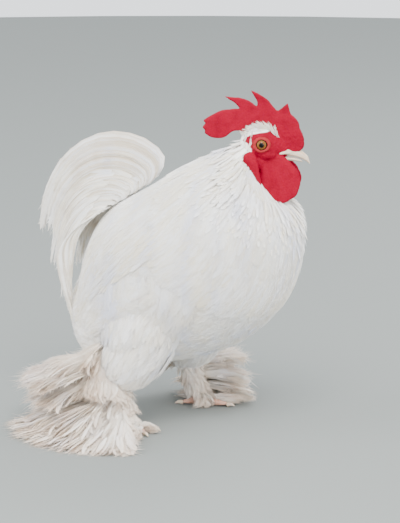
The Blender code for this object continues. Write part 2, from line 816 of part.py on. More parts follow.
def build_tail(cutters):
    core = sphere("tail", Vector(), TAIL_CORE_SIZE, 16, 9)
    core.data.transform(Matrix.Translation(TAIL_CORE_PLACE) @ Matrix.Rotation(-TAIL_CORE_SLOPE, 4, "Y"))
    draw = random.Random(SEED + 1)
    pieces = []
    for side, sign in SIDES.items():
        for rank in range(TAIL_COUNT):
            blend = rank / (TAIL_COUNT - 1)
            pieces.append(tail_vane(f"tail_{side}_{rank}", blend, sign, rank, draw))
    fuse(core, pieces)
    return carve(core, cutters)


# Wings

WING_SPAN = (Vector((2.0, 0, 129.0)) * MM, Vector((-74.0, 0, 80.0)) * MM)
# Wing outline along its length: share of the span, distance above and below the axis
WING_SECTIONS = np.array(
    [
        (0.00, 7.0, -8.0),
        (0.10, 14.0, -15.0),
        (0.30, 19.0, -21.0),
        (0.52, 18.0, -21.0),
        (0.72, 12.0, -16.0),
        (0.86, 6.0, -9.0),
    ]
)
WING_THICKNESS = 3.0 * MM
WING_CLEARANCE = 0.7 * MM
WING_SINK = 1.5 * MM
WING_COVER = 9.0 * MM
# Wing feathers: root share, across at the roots and at the tips (top, bottom), reach, count, lift
WING_TIERS = (
    (0.40, (13.0, -16.0), (9.0, -19.0), 0.72, 5, 1.2 * MM),
    (0.14, (12.0, -14.0), (15.0, -18.0), 0.46, 5, 4.2 * MM),
)


def wing_point(share, across, sign, tree, lift):
    """A point of the wing, share along its span and across its axis, laid on the torso's side."""
    start, end = WING_SPAN
    axis = (end - start).normalized()
    up = Vector((-axis.z, 0, axis.x)) * -1.0
    flat = start.lerp(end, share) + up * across
    probe = Vector((flat.x, sign * 0.2, flat.z))
    place, normal, _, _ = tree.ray_cast(probe, Vector((0, -sign, 0)))
    if place is None:
        place, normal, _, _ = tree.find_nearest(Vector((flat.x, sign * 0.03, flat.z)))
    return place + normal * lift


def build_wing(side, sign, tree, cutters):
    rings = []
    for share, high, low in WING_SECTIONS:
        spread = np.linspace(high, low, 5) * MM
        domed = [0.35 + 0.65 * math.sin(math.pi * k / 4) for k in range(len(spread))]
        lifts = [WING_CLEARANCE + WING_THICKNESS * dome for dome in domed]
        outer = [wing_point(share, across, sign, tree, lift) for across, lift in zip(spread, lifts)]
        inner = [wing_point(share, across, sign, tree, -WING_SINK) for across in spread[::-1]]
        rings.append(outer + inner)
    wing = loft(f"wing_{side}", rings)
    pieces = []
    draw = random.Random(SEED + 2)
    for tier, (root, near, far, reach, count, lift) in enumerate(WING_TIERS):
        for k in range(count):
            t = k / (count - 1)
            across = (near[0] + (near[1] - near[0]) * t) * MM
            ends = (far[0] + (far[1] - far[0]) * t) * MM
            tip = root + reach * (1 - 0.3 * abs(t - 0.45)) + draw.uniform(-0.012, 0.012)
            level = WING_CLEARANCE + lift + (1.5 * MM if k % 2 else 0.0)
            points = [
                wing_point(root + (tip - root) * s, across + (ends - across) * s, sign, tree, level)
                for s in (0.0, 0.25, 0.5, 0.75, 1.0)
            ]
            normals = [Vector((0, sign, 0.15)).normalized()] * 5
            name = f"flight_{tier}_{side}_{k}"
            pieces.append(free_vane(name, points, normals, 13.5 * MM, 1.1 * MM, 0.5, 0.6))
    fuse(wing, pieces)
    return carve(wing, cutters)


def wing_envelope(name, sign, tree):
    """A smooth body round the whole wing, for cutting the thigh clear of it."""
    rings = []
    for share, reach in ((-0.1, 16.0), (0.3, 28.0), (0.7, 28.0), (1.08, 22.0)):
        spread = np.linspace(reach, -reach, 5) * MM
        outer = [wing_point(share, across, sign, tree, WING_COVER) for across in spread]
        inner = [wing_point(share, across, sign, tree, -WING_COVER) for across in spread[::-1]]
        rings.append(outer + inner)
    return loft(name, rings)


# Legs

def leg_point(base, side, sign, stride=1.0):
    return Vector((base.x + STRIDE[side] * stride, sign * LEG_SPREAD, base.z))


def thigh_points(side, sign):
    rows = ((Vector((x, 0, z)) * MM, near, stride) for x, near, z, _, stride in THIGH_LINE)
    return [leg_point(place, side, sign * near, stride) for place, near, stride in rows]


def thigh_tube(name, side, sign, grow=0.0):
    points = thigh_points(side, sign)
    points[-1] += (points[-1] - points[-2]).normalized() * grow
    return tube(name, points, [row[3] * THIGH_FULLNESS[side] * MM + grow for row in THIGH_LINE], 14)


def level_heading(sign, out, drop=0.0):
    """A heading, measured in degrees from straight ahead to the leg's outer side, and downwards."""
    turn, fall = math.radians(out), math.radians(drop)
    level = Vector((math.cos(turn), sign * math.sin(turn), 0))
    return level * math.cos(fall) - Vector((0, 0, math.sin(fall)))


def boot_fan(name, sign, root_line, fan, draw, floor=0.0, grow=0.0):
    """A fan of leg feathers from a line of roots; every other one lies a step higher."""
    count, out_range, length, drops, width, roll = fan
    roll = math.radians(roll)
    pieces = []
    for k in range(count):
        t = k / max(count - 1, 1)
        out = out_range[0] + (out_range[1] - out_range[0]) * t + draw.uniform(-2, 2)
        heading, ending = level_heading(sign, out, drops[0]), level_heading(sign, out, drops[1])
        step = BOOT_STEP if k % 2 else 0.0
        root = root_line[0].lerp(root_line[1], t) + Vector((0, 0, step))
        reach = (length + draw.uniform(-4, 4)) * MM + grow
        points = bent_path(root, heading, ending, reach, 4)
        least = BOOT_FLOOR + step + 0.5 * width * MM * math.sin(roll)
        shares = np.linspace(0, 1, len(points))
        held = [least + floor * (1 - smooth_step(share, 0.62, 1.0)) for share in shares]
        points = [Vector((p.x, p.y, max(p.z, low))) for p, low in zip(points, held)]
        across = heading.cross(Vector((0, 0, 1))).normalized()
        upright = across.cross(heading).normalized()
        outer = across if across.y * sign > 0 else -across
        normals = [upright * math.cos(roll) + outer * math.sin(roll)] * len(points)
        size = (width * MM + 2 * grow, BOOT_THICKNESS + 2 * grow)
        pieces.append(free_vane(f"{name}_{k}", points, normals, *size, BOOT_ROOT, 0.62))
    return pieces


def thigh_parts(name, side, sign, grow=0.0):
    """The thigh with its hock feathers, or a copy grown by a gap for cutting the shank."""
    hock = leg_point(HOCK, side, sign)
    parts = [thigh_tube(name, side, sign, grow)]
    draw = random.Random(SEED + 3)
    for row, (height, fan) in enumerate(HOCK_FANS[side]):
        ends = Vector((2.0, 2.5 * sign, height)) * MM, Vector((-4.0, -1.0 * sign, height)) * MM
        line = [hock + end for end in ends]
        parts.extend(boot_fan(f"{name}_vane_{row}", sign, line, fan, draw, grow=grow))
    return parts


def build_thigh(side, sign, cutters):
    parts = thigh_parts(f"thigh_{side}", side, sign)
    fuse(parts[0], parts[1:])
    return carve(parts[0], cutters)


def shank_tube(name, side, sign, grow=0.0):
    start, ankle = thigh_points(side, sign)[-1], leg_point(ANKLE, side, sign)
    along = (ankle - start).normalized()
    start = start + along * GAP * 1.6
    points = [start, start.lerp(ankle, 0.3), start.lerp(ankle, 0.7), ankle + along * grow]
    return tube(name, points, [radius * MM + grow for radius in SHANK_RADII], 10)


def build_shank(side, sign):
    shank = shank_tube(f"shank_{side}", side, sign)
    start, ankle = thigh_points(side, sign)[-1], leg_point(ANKLE, side, sign)
    draw = random.Random(SEED + 4)
    pieces = []
    for row, (share, fan) in enumerate(SHANK_FANS[side]):
        place = start.lerp(ankle, share)
        line = (place + Vector((1.5, 1.0 * sign, 0)) * MM, place + Vector((-1.5, 1.0 * sign, 0)) * MM)
        pieces.extend(boot_fan(f"shank_vane_{row}_{side}", sign, line, fan, draw, SHANK_FLOOR))
    fuse(shank, pieces)
    return carve(shank, thigh_parts("shank_cutter", side, sign, GAP))


def claw_form(name, base, heading, grow=0.0):
    start = base - heading * (grow / 2)
    bend = base + heading * CLAW_LENGTH * 0.5 + Vector((0, 0, 0.4 * MM))
    tip = base + heading * (CLAW_LENGTH + grow) + Vector((0, 0, -1.2 * MM))
    return tube(name, [start, bend, tip], [2.1 * MM + grow, 1.5 * MM + grow, 0], 8)


def build_foot(side, sign):
    ankle = leg_point(ANKLE, side, sign)
    centre = Vector((ankle.x + 2 * MM, ankle.y, 5.2 * MM))
    foot = sphere(f"foot_{side}", centre, Vector((7.4, 6.6, 5.4)) * MM, 12, 7)
    pieces, claws, cutters = [], [], []
    draw = random.Random(SEED + 5)
    for toe, (out, length) in TOES.items():
        heading = level_heading(sign, out + TOE_TURN[side])
        reach = length * MM
        shares, heights = (0.0, 0.45, 0.85, 1.0), (4.2, 3.4, 2.8, 2.1)
        points = [centre + heading * (1.5 * MM + (reach - 1.5 * MM) * share) for share in shares]
        points = [Vector((p.x, p.y, z * MM)) for p, z in zip(points, heights)]
        pieces.append(tube(f"toe_{toe}_{side}", points, [4.4 * MM, 3.7 * MM, 3.2 * MM, 2.4 * MM], 8))
        claws.append(claw_form(f"claw_{toe}_{side}", points[-1] + heading * GAP, heading))
        cutters.append(claw_form(f"claw_cutter_{toe}_{side}", points[-1] + heading * GAP, heading, GAP))
        if toe in FOOT_FANS:
            line = (centre + heading * reach * 0.9, centre + heading * reach * 0.25)
            count, spread, *rest = FOOT_FANS[toe]
            turned = (out + TOE_TURN[side] + spread[0], out + TOE_TURN[side] + spread[1])
            fan = (count, turned, *rest)
            pieces.extend(boot_fan(f"toe_vane_{toe}_{side}", sign, line, fan, draw))
    fuse(foot, pieces)
    return carve(foot, cutters + [shank_tube("foot_cutter", side, sign, GAP)]), claws


def flatten_soles(obj):
    """Cuts off what would reach under the floor."""
    mesh = bmesh.new()
    bmesh.ops.create_cube(mesh, size=0.4)
    bmesh.ops.translate(mesh, verts=mesh.verts, vec=(0, 0, -0.2))
    data = bpy.data.meshes.new("under_floor")
    mesh.to_mesh(data)
    mesh.free()
    return carve(obj, [add_object("under_floor", data)])


# Finish

# Colour and roughness of each kind of surface, by the start of a node's name
FINISHES = {
    "comb": ((0.78, 0.02, 0.04), 0.45),
    "wattle": ((0.76, 0.02, 0.04), 0.42),
    "earlobe": ((0.74, 0.03, 0.05), 0.48),
    "head": ((0.74, 0.04, 0.06), 0.5),
    "beak": ((0.88, 0.80, 0.62), 0.35),
    "claw": ((0.84, 0.74, 0.60), 0.4),
    "eye": ((0.45, 0.22, 0.06), 0.1),
    "shank": ((0.80, 0.69, 0.59), 0.85),
    "foot": ((0.79, 0.67, 0.57), 0.85),
    "thigh": ((0.86, 0.82, 0.75), 0.82),
    "tail": ((0.86, 0.83, 0.76), 0.75),
    "wing": ((0.87, 0.85, 0.80), 0.78),
    "neck": ((0.88, 0.86, 0.81), 0.78),
    "torso": ((0.87, 0.85, 0.80), 0.8),
    "ear_tuft": ((0.88, 0.85, 0.80), 0.8),
}


def paint(obj):
    start = next(start for start in FINISHES if obj.name.startswith(start))
    colour, roughness = FINISHES[start]
    material = bpy.data.materials.new(obj.name)
    material.use_nodes = True
    shader = material.node_tree.nodes["Principled BSDF"]
    shader.inputs["Base Color"].default_value = (*colour, 1.0)
    shader.inputs["Roughness"].default_value = roughness
    shader.inputs["Metallic"].default_value = 0.0
    obj.data.materials.clear()
    obj.data.materials.append(material)
    obj.data.shade_smooth()
    obj.data.set_sharp_from_angle(angle=math.radians(40))


def centre_on_floor(frame, nodes):
    """Moves the bird's frame so that the middle of its whole box is over the origin."""
    bpy.context.view_layer.update()
    corners = np.array([obj.matrix_world @ vert.co for obj in nodes for vert in obj.data.vertices])
    middle = (corners.min(axis=0) + corners.max(axis=0)) / 2
    frame.location = (-middle[0], -middle[1], -corners[:, 2].min())


def main():
    for obj in list(bpy.data.objects):
        bpy.data.objects.remove(obj)
    home = bpy.data.collections.new("bantam_cock")
    bpy.context.scene.collection.children.link(home)
    frame = add_object("cock_frame", None)
    head_frame = add_object("head_frame", None)
    head_frame.location = HEAD_PLACE
    head_frame.rotation_euler.z = HEAD_TURN

    torso = build_torso()
    tree = tree_of(torso)
    nodes = [torso]
    around = head_cutters("neck_head_cutter") + [torso_form("neck_torso_cutter", GAP)]
    for side, sign in SIDES.items():
        around.append(wattle_form(f"neck_wattle_cutter_{side}", sign, GAP))
        around.append(earlobe_form(f"neck_earlobe_cutter_{side}", sign, GAP))
        around.extend(ear_tuft_parts(f"neck_tuft_cutter_{side}", sign, GAP))
    nodes.append(build_neck(around))
    nodes.append(build_head())
    nodes.append(build_comb(head_cutters("comb_cutter") + beak_cutters("comb_cutter_")))
    for part in BEAK_ROWS:
        beak = beak_half(f"beak_{part}", part)
        nostrils = build_nostrils() if part == "upper" else []
        nodes.append(carve(beak, head_cutters(f"beak_cutter_{part}") + nostrils))
    for side, sign in SIDES.items():
        nodes.append(build_eye(side, sign))
        wattle = wattle_form(f"wattle_{side}", sign)
        nodes.append(carve(wattle, head_cutters("wattle_cutter") + beak_cutters("wattle_")))
        earlobe = earlobe_form(f"earlobe_{side}", sign)
        lobe_cutters = head_cutters("lobe_cutter") + [wattle_form("lobe_wattle_cutter", sign, GAP)]
        nodes.append(carve(earlobe, lobe_cutters))
        tuft_cutters = head_cutters("tuft_cutter") + [earlobe_form("tuft_lobe_cutter", sign, GAP)]
        nodes.append(build_ear_tuft(side, sign, tuft_cutters))
        nodes.append(build_wing(side, sign, tree, [torso_form(f"wing_cutter_{side}", GAP)]))
        thigh_cutters = [torso_form("thigh_cutter", GAP), wing_envelope("thigh_wing_cutter", sign, tree)]
        nodes.append(build_thigh(side, sign, thigh_cutters))
        nodes.append(build_shank(side, sign))
        foot, claws = build_foot(side, sign)
        nodes.extend(flatten_soles(piece) for piece in [foot] + claws)
    nodes.append(build_tail([torso_form("tail_cutter", GAP)]))
    for node in nodes:
        paint(node)
    centre_on_floor(frame, nodes)


main()
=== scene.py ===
"""Looks of a feather-footed bantam cock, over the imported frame.

The bird faces +X with its right side towards -Y. One skin lies under the plumage. Feathers are laid
in rows on carriers, smooth sheets that follow the body, the tail, the wings and the legs, by one
Geometry Nodes tree. Lengths are in metres, and angles round the body run from the back to the left.
"""

import json
import logging
import math
from dataclasses import dataclass, field
from enum import Enum
from typing import Callable

import bmesh
import bpy
import numpy as np
from mathutils import Matrix, Vector, noise
from mathutils.bvhtree import BVHTree

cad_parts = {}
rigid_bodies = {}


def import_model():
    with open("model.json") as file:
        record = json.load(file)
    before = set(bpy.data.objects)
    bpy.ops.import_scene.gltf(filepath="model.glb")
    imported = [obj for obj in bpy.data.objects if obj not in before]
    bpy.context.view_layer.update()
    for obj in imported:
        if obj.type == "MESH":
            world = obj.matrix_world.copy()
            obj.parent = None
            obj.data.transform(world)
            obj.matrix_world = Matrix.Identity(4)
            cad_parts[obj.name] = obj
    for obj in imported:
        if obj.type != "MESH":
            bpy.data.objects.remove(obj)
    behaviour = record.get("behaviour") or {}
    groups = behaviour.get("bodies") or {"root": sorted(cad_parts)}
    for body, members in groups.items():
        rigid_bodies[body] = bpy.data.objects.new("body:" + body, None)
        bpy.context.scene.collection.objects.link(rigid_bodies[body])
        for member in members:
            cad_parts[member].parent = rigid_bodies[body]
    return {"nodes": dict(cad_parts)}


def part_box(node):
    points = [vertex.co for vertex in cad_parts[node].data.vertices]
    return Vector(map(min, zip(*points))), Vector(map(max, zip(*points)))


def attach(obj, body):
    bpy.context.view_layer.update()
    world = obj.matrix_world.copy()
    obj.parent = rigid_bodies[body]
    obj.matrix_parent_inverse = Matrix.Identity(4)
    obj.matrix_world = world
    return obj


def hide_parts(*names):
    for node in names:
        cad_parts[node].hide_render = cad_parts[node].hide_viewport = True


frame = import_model()

MM = 0.001
SIDES = {"right": -1.0, "left": 1.0}
BODY_END = 10.9  # the last station that feathers reach, just before the rump's pole
FLOOR_ROOM = 1.4 * MM  # how softly feathers turn level over the floor
SHARP_EDGE = 0.7  # radians between two faces of a feather, over which their edge is sharp
PATCH = 0.003  # a feather's room on the bake map
Array = np.ndarray
Rule = Callable[[Array, Array], Array]
log = logging.getLogger("bantam_cock")


class FeatherKind(Enum):
    """The patterns that feathers are cut from."""

    HACKLE = "hackle"
    CONTOUR = "contour"
    PLUME = "plume"
    SICKLE = "sickle"
    BOOT = "boot"


# Node trees


def operator(operation: str, swapped: bool = False) -> Callable[["Term", object], "Term"]:
    """Makes an operator of Term from an operation of the Math node.

    Args:
        operation: The node's operation.
        swapped: Whether the other value comes first.

    Returns:
        The method, which adds one node and gives its result.
    """

    def apply(term: "Term", other: object = 0.0) -> "Term":
        """Adds the node."""
        pair = (other, term) if swapped else (term, other)
        return term.graph.term("ShaderNodeMath", {"operation": operation}, dict(enumerate(pair)))

    return apply


class Term:
    """A socket of a node tree that takes part in Python arithmetic."""

    def __init__(self, graph: "Graph", socket: bpy.types.NodeSocket) -> None:
        """Keeps the graph that new nodes go to and the socket itself."""
        self.graph = graph
        self.socket = socket

    __add__, __radd__ = operator("ADD"), operator("ADD", True)
    __sub__, __rsub__ = operator("SUBTRACT"), operator("SUBTRACT", True)
    __mul__, __rmul__ = operator("MULTIPLY"), operator("MULTIPLY", True)
    __truediv__, __pow__ = operator("DIVIDE"), operator("POWER")
    wave, size = operator("SINE"), operator("ABSOLUTE")

    def ramp(self, low: float, high: float) -> "Term":
        """A smooth step from 0 at low to 1 at high."""
        sockets = {"Value": self, "From Min": low, "From Max": high}
        return self.graph.term("ShaderNodeMapRange", {"interpolation_type": "SMOOTHSTEP"}, sockets)


class Graph:
    """Builds the nodes of one tree."""

    def __init__(self, tree: bpy.types.NodeTree) -> None:
        """Starts on a node tree, shader or geometry."""
        self.tree = tree

    def give(self, node: bpy.types.Node, sockets: dict | None) -> None:
        """Links or sets sockets of a node, by their names or places."""
        for key, value in (sockets or {}).items():
            if isinstance(value, Term):
                self.tree.links.new(value.socket, node.inputs[key])
            else:
                node.inputs[key].default_value = value

    def node(self, kind: str, settings: dict | None = None, sockets: dict | None = None) -> bpy.types.Node:
        """Adds a node.

        Args:
            kind: The node's type name.
            settings: Properties, set before the sockets.
            sockets: Values or links by the socket's name or place.

        Returns:
            The new node.
        """
        made = self.tree.nodes.new(kind)
        for name, value in (settings or {}).items():
            setattr(made, name, value)
        self.give(made, sockets)
        return made

    def term(
        self, kind: str, settings: dict | None = None, sockets: dict | None = None, out: int | str = 0
    ) -> Term:
        """Adds a node and wraps one of its outputs."""
        return Term(self, self.node(kind, settings, sockets).outputs[out])

    def vector(self, operation: str, *values: object) -> Term:
        """Adds one Vector Math node."""
        return self.term("ShaderNodeVectorMath", {"operation": operation}, dict(enumerate(values)))

    def scaled(self, vector: Term, factor: object) -> Term:
        """A vector times a number."""
        return self.term("ShaderNodeVectorMath", {"operation": "SCALE"}, {0: vector, "Scale": factor})

    def parts(self, vector: Term) -> tuple[Term, Term, Term]:
        """The three parts of a vector."""
        split = self.node("ShaderNodeSeparateXYZ", None, {0: vector})
        return Term(self, split.outputs[0]), Term(self, split.outputs[1]), Term(self, split.outputs[2])

    def join(self, x: object, y: object, z: object = 0.0) -> Term:
        """A vector from three parts."""
        return self.term("ShaderNodeCombineXYZ", None, {0: x, 1: y, 2: z})

    def blend(self, share: object, first: object, second: object) -> Term:
        """A colour between two colours."""
        return self.term("ShaderNodeMix", {"data_type": "RGBA"}, {0: share, 6: first, 7: second}, 2)

    def noise(self, place: Term, scale: float, detail: float = 2.0, stretch: tuple | None = None) -> Term:
        """Noise between 0 and 1 at a place."""
        spot = self.vector("MULTIPLY", place, stretch) if stretch else place
        return self.term("ShaderNodeTexNoise", None, {"Vector": spot, "Scale": scale, "Detail": detail})

    def attribute(self, name: str) -> Term:
        """A number that the mesh stores under a name."""
        return self.term("ShaderNodeAttribute", {"attribute_name": name}, None, "Fac")

    def uv(self, name: str) -> tuple[Term, Term, Term]:
        """The parts of a UV map."""
        return self.parts(self.term("ShaderNodeUVMap", {"uv_map": name}))

    def place(self) -> Term:
        """The shaded place in the object's own coordinates."""
        return self.term("ShaderNodeTexCoord", None, None, "Object")

    def bump(self, height: Term, strength: float, depth: float) -> Term:
        """A normal that is tilted by a height."""
        sockets = {"Height": height, "Strength": strength, "Distance": depth}
        return self.term("ShaderNodeBump", None, sockets, "Normal")


def colour(red: float, green: float, blue: float) -> tuple[float, float, float, float]:
    """An opaque colour."""
    return red, green, blue, 1.0


class Finish:
    """A material with one Principled shader."""

    name: str

    def sockets(self, graph: Graph) -> dict[str, object]:
        """The shader's values and links by the names of its sockets."""
        raise NotImplementedError

    def make(self) -> bpy.types.Material:
        """Builds the material.

        Returns:
            The material, under the finish's name.
        """
        material = bpy.data.materials.new(self.name)
        material.use_nodes = True
        graph = Graph(material.node_tree)
        graph.give(material.node_tree.nodes["Principled BSDF"], self.sockets(graph))
        return material


@dataclass(frozen=True)
class FeatherFinish(Finish):
    """White feather web, with its shaft and the fine lines of its barbs."""

    name: str
    light: tuple = colour(0.96, 0.955, 0.95)
    warm: tuple = colour(0.93, 0.86, 0.70)
    # A cool lavender for painted shade in the folds of the plumage.
    painted_shade: tuple = colour(0.74, 0.76, 0.88)
    # A brown for dirt and for painted shade between feathers.
    soil_and_shade: tuple = colour(0.72, 0.55, 0.44)
    # How much the web browns towards its edges: painted shade where feathers overlap.
    edge: float = 0.1
    warmth: float = 0.25
    # Brown patches towards the tips: dirt on the boots, and painted shade between the tail's feathers.
    soiling_and_shade: float = 0.0
    barbs: float = 30.0
    relief: float = 0.35

    def sockets(self, graph: Graph) -> dict[str, object]:
        """The web's colour from shaft to edge, with painted shade in streaks and towards its edges, its
        relief and its soft light.

        Args:
            graph: The material's graph.

        Returns:
            Values and links by socket.
        """
        tint, place = graph.attribute("tint"), graph.place()
        across, along, _ = graph.uv("vane")
        side = (across - 0.5).size()
        strands = graph.noise(graph.join(across * 9.0 + tint * 37.0, along * 1.3, tint * 11.0), 2.2, 3.0)
        patches = graph.noise(place, 34.0, 3.0, (1.0, 1.0, 0.35))
        warm = (tint * 0.5 + patches * 0.9 + strands * 0.5 - 0.6).ramp(0.0, 0.8) * self.warmth
        # Painted shade: long upright streaks of noise turn the web lavender, as in the shaded folds between
        # long feathers.
        shade = (graph.noise(place, 42.0, 2.0, (1.0, 1.0, 0.22)) + tint * 0.2 - 0.53).ramp(0.0, 0.2) * 0.85
        base = graph.blend(warm, graph.blend(shade, self.light, self.painted_shade), self.warm)
        # Painted shade: the web browns towards its edges, as in the shade between overlapping feathers.
        base = graph.blend(side.ramp(0.22, 0.5) * self.edge, base, self.soil_and_shade)
        # Brown patches that grow towards the feathers' tips: partly dirt, partly painted shade between
        # feathers.
        if self.soiling_and_shade > 0:
            dirt_and_shade = (graph.noise(place, 60.0, 4.0) * 0.9 + along * 0.45 + strands * 0.5 - 0.85).ramp(0.0, 0.6)
            base = graph.blend(dirt_and_shade * self.soiling_and_shade, base, self.soil_and_shade)
        lines = ((along * self.barbs - side * self.barbs * 0.6) * math.tau).wave()
        return {
            "Base Color": graph.blend((1.0 - side.ramp(0.0, 0.05)) * 0.12, base, self.warm),
            "Normal": graph.bump(lines * 0.2 + strands * 1.2, self.relief, 0.10 * MM),
            "Roughness": 0.7,
            "Specular IOR Level": 0.3,
            "Subsurface Weight": 0.35,
            "Subsurface Radius": (1.0, 0.95, 0.88),
            "Subsurface Scale": 2.5 * MM,
        }


@dataclass(frozen=True)
class SkinFinish(Finish):
    """Bare crimson skin with a fine grain, white down under the plumage and scaled toes."""

    name: str = "bare_skin"
    red: tuple = colour(0.24, 0.0, 0.015)
    deep: tuple = colour(0.14, 0.0, 0.007)
    pink: tuple = colour(0.31, 0.0, 0.028)
    lid: tuple = colour(0.36, 0.05, 0.04)
    down: tuple = colour(0.94, 0.92, 0.87)
    toe: tuple = colour(0.62, 0.36, 0.27)

    def sockets(self, graph: Graph) -> dict[str, object]:
        """Flesh where the skin is bare, down elsewhere, and toes.

        Args:
            graph: The material's graph.

        Returns:
            Values and links by socket.
        """
        bare, place = graph.attribute("bare"), graph.place()
        grains = {"Vector": place, "Scale": 900.0, "Randomness": 0.9}
        cells = graph.term("ShaderNodeTexVoronoi", {"feature": "F1"}, grains, "Distance")
        patches = graph.noise(place, 90.0, 3.0)
        flesh = graph.blend(patches.ramp(0.4, 0.8) * 0.55, self.red, self.deep)
        flesh = graph.blend((1.0 - cells.ramp(0.1, 0.6)) * 0.22, flesh, self.pink)
        flesh = graph.blend(graph.attribute("lid") * 0.8, flesh, self.lid)
        grain = (1.0 - cells) * bare + graph.noise(place, 2400.0, 2.0) * 0.4
        return {
            "Base Color": graph.blend(graph.attribute("foot"), graph.blend(bare, self.down, flesh), self.toe),
            "Roughness": 0.85 - bare * 0.28 + patches * 0.08,
            "Normal": graph.bump(grain, 0.6, 0.3 * MM),
            "Specular IOR Level": 0.06,
            "Subsurface Weight": 0.1,
            "Subsurface Radius": (1.0, 0.2, 0.15),
            "Subsurface Scale": 1.2 * MM,
        }


@dataclass(frozen=True)
class HornFinish(Finish):
    """Pale horn with faint streaks."""

    name: str = "horn"
    pale: tuple = colour(0.62, 0.50, 0.38)
    streak: tuple = colour(0.44, 0.30, 0.18)

    def sockets(self, graph: Graph) -> dict[str, object]:
        """The horn's colour, its gloss and its streaks.

        Args:
            graph: The material's graph.

        Returns:
            Values and links by socket.
        """
        lines = graph.noise(graph.place(), 260.0, 4.0, (0.35, 1.0, 1.0))
        return {
            "Base Color": graph.blend(lines.ramp(0.45, 0.8) * 0.7, self.pale, self.streak),
            "Roughness": 0.28 + lines * 0.25,
            "Normal": graph.bump(lines, 0.3, 0.1 * MM),
            "Subsurface Weight": 0.2,
            "Subsurface Scale": 1.0 * MM,
        }


@dataclass(frozen=True)
class EyeFinish(Finish):
    """A wet eye: black pupil, amber iris with fine rays and a dark rim. Radii are shares of a right angle."""

    name: str = "eye"
    pupil: float = 0.25
    iris: float = 0.47
    black: tuple = colour(0.002, 0.002, 0.002)
    amber: tuple = colour(0.22, 0.085, 0.014)
    ray: tuple = colour(0.11, 0.035, 0.006)
    outer: tuple = colour(0.20, 0.12, 0.03)
    rim: tuple = colour(0.02, 0.006, 0.005)

    def sockets(self, graph: Graph) -> dict[str, object]:
        """The eye's rings from the pupil to the rim, under a clear coat.

        Args:
            graph: The material's graph.

        Returns:
            Values and links by socket.
        """
        gaze, turn, _ = graph.uv("gaze")
        rays = graph.noise(graph.join(turn * 9.0, gaze * 2.0), 6.0, 3.0)
        amber = graph.blend(rays.ramp(0.3, 0.7), self.amber, self.ray)
        amber = graph.blend(gaze.ramp(self.pupil + 0.12, self.iris), amber, self.outer)
        base = graph.blend((gaze + rays * 0.05).ramp(self.pupil, self.pupil + 0.02), self.black, amber)
        return {
            "Base Color": graph.blend(gaze.ramp(self.iris - 0.04, self.iris + 0.03), base, self.rim),
            "Roughness": 0.10,
            "Specular IOR Level": 0.1,
            "Coat Weight": 0.1,
            "Coat Roughness": 0.03,
        }


@dataclass(frozen=True)
class FloorFinish(Finish):
    """The plain pale floor."""

    name: str = "floor"
    pale: tuple = colour(0.20, 0.215, 0.205)
    grain: tuple = colour(0.18, 0.195, 0.185)

    def sockets(self, graph: Graph) -> dict[str, object]:
        """The floor's faint grain."""
        grain = graph.noise(graph.place(), 30.0, 4.0) * 0.1
        return {"Base Color": graph.blend(grain, self.pale, self.grain), "Roughness": 0.9}


# Meshes


def linked(name: str, data: bpy.types.ID) -> bpy.types.Object:
    """An object in the scene that shows some data.

    Args:
        name: The object's name.
        data: Its mesh, curve, lamp or camera data.

    Returns:
        The object.
    """
    obj = bpy.data.objects.new(name, data)
    bpy.context.scene.collection.objects.link(obj)
    return obj


def add_mesh(name: str, points: Array, faces: list | Array) -> bpy.types.Object:
    """A mesh object at the origin.

    Args:
        name: The object's name.
        points: Vertex places, one row each.
        faces: Vertex numbers of each face.

    Returns:
        The new object, linked to the scene.
    """
    data = bpy.data.meshes.new(name)
    data.from_pydata(np.asarray(points, float).tolist(), [], [list(map(int, face)) for face in faces])
    data.update()
    return linked(name, data)


def reworked(data: bpy.types.Mesh, merge: float | None = None) -> bpy.types.Mesh:
    """Merges a mesh's vertices that lie closer than a distance, or else turns its faces outward.

    Args:
        data: The mesh to change.
        merge: The distance in metres, or None to turn the faces.

    Returns:
        The same mesh.
    """
    mesh = bmesh.new()
    mesh.from_mesh(data)
    if merge is None:
        bmesh.ops.recalc_face_normals(mesh, faces=mesh.faces)
    else:
        bmesh.ops.remove_doubles(mesh, verts=mesh.verts, dist=merge)
    mesh.to_mesh(data)
    mesh.free()
    return data


def put_attribute(mesh: bpy.types.Mesh, name: str, kind: str, values: Array) -> None:
    """Stores one value a vertex.

    Args:
        mesh: The mesh that keeps them.
        name: The attribute's name.
        kind: FLOAT, INT or FLOAT_VECTOR.
        values: One value or row a vertex.
    """
    layer = mesh.attributes.new(name, kind, "POINT")
    key, number = "vector" if kind == "FLOAT_VECTOR" else "value", np.int32 if kind == "INT" else np.float32
    layer.data.foreach_set(key, np.ascontiguousarray(values, number).ravel())


def put_uv(mesh: bpy.types.Mesh, name: str, pairs: Array, corners: Array) -> None:
    """Stores a UV map from one pair a vertex and the vertex number of each corner."""
    layer = mesh.uv_layers.new(name=name)
    layer.data.foreach_set("uv", pairs[corners].astype(np.float32).ravel())


def dress(obj: bpy.types.Object, finish: bpy.types.Material, smooth: bool = True) -> bpy.types.Object:
    """Gives a mesh its only material.

    Args:
        obj: The piece.
        finish: Its material.
        smooth: Whether it is shaded smooth.

    Returns:
        The piece.
    """
    obj.data.materials.clear()
    obj.data.materials.append(finish)
    if smooth:
        obj.data.shade_smooth()
    return obj


def remove(obj: bpy.types.Object) -> None:
    """Removes an object and its data.

    Args:
        obj: A mesh or curve object.
    """
    data = obj.data
    bpy.data.objects.remove(obj)
    if data.users == 0:
        (bpy.data.meshes if isinstance(data, bpy.types.Mesh) else bpy.data.curves).remove(data)


def mesh_from(obj: bpy.types.Object) -> bpy.types.Mesh:
    """An object's mesh as its modifiers or its curve leave it."""
    graph = bpy.context.evaluated_depsgraph_get()
    return bpy.data.meshes.new_from_object(obj.evaluated_get(graph), depsgraph=graph)


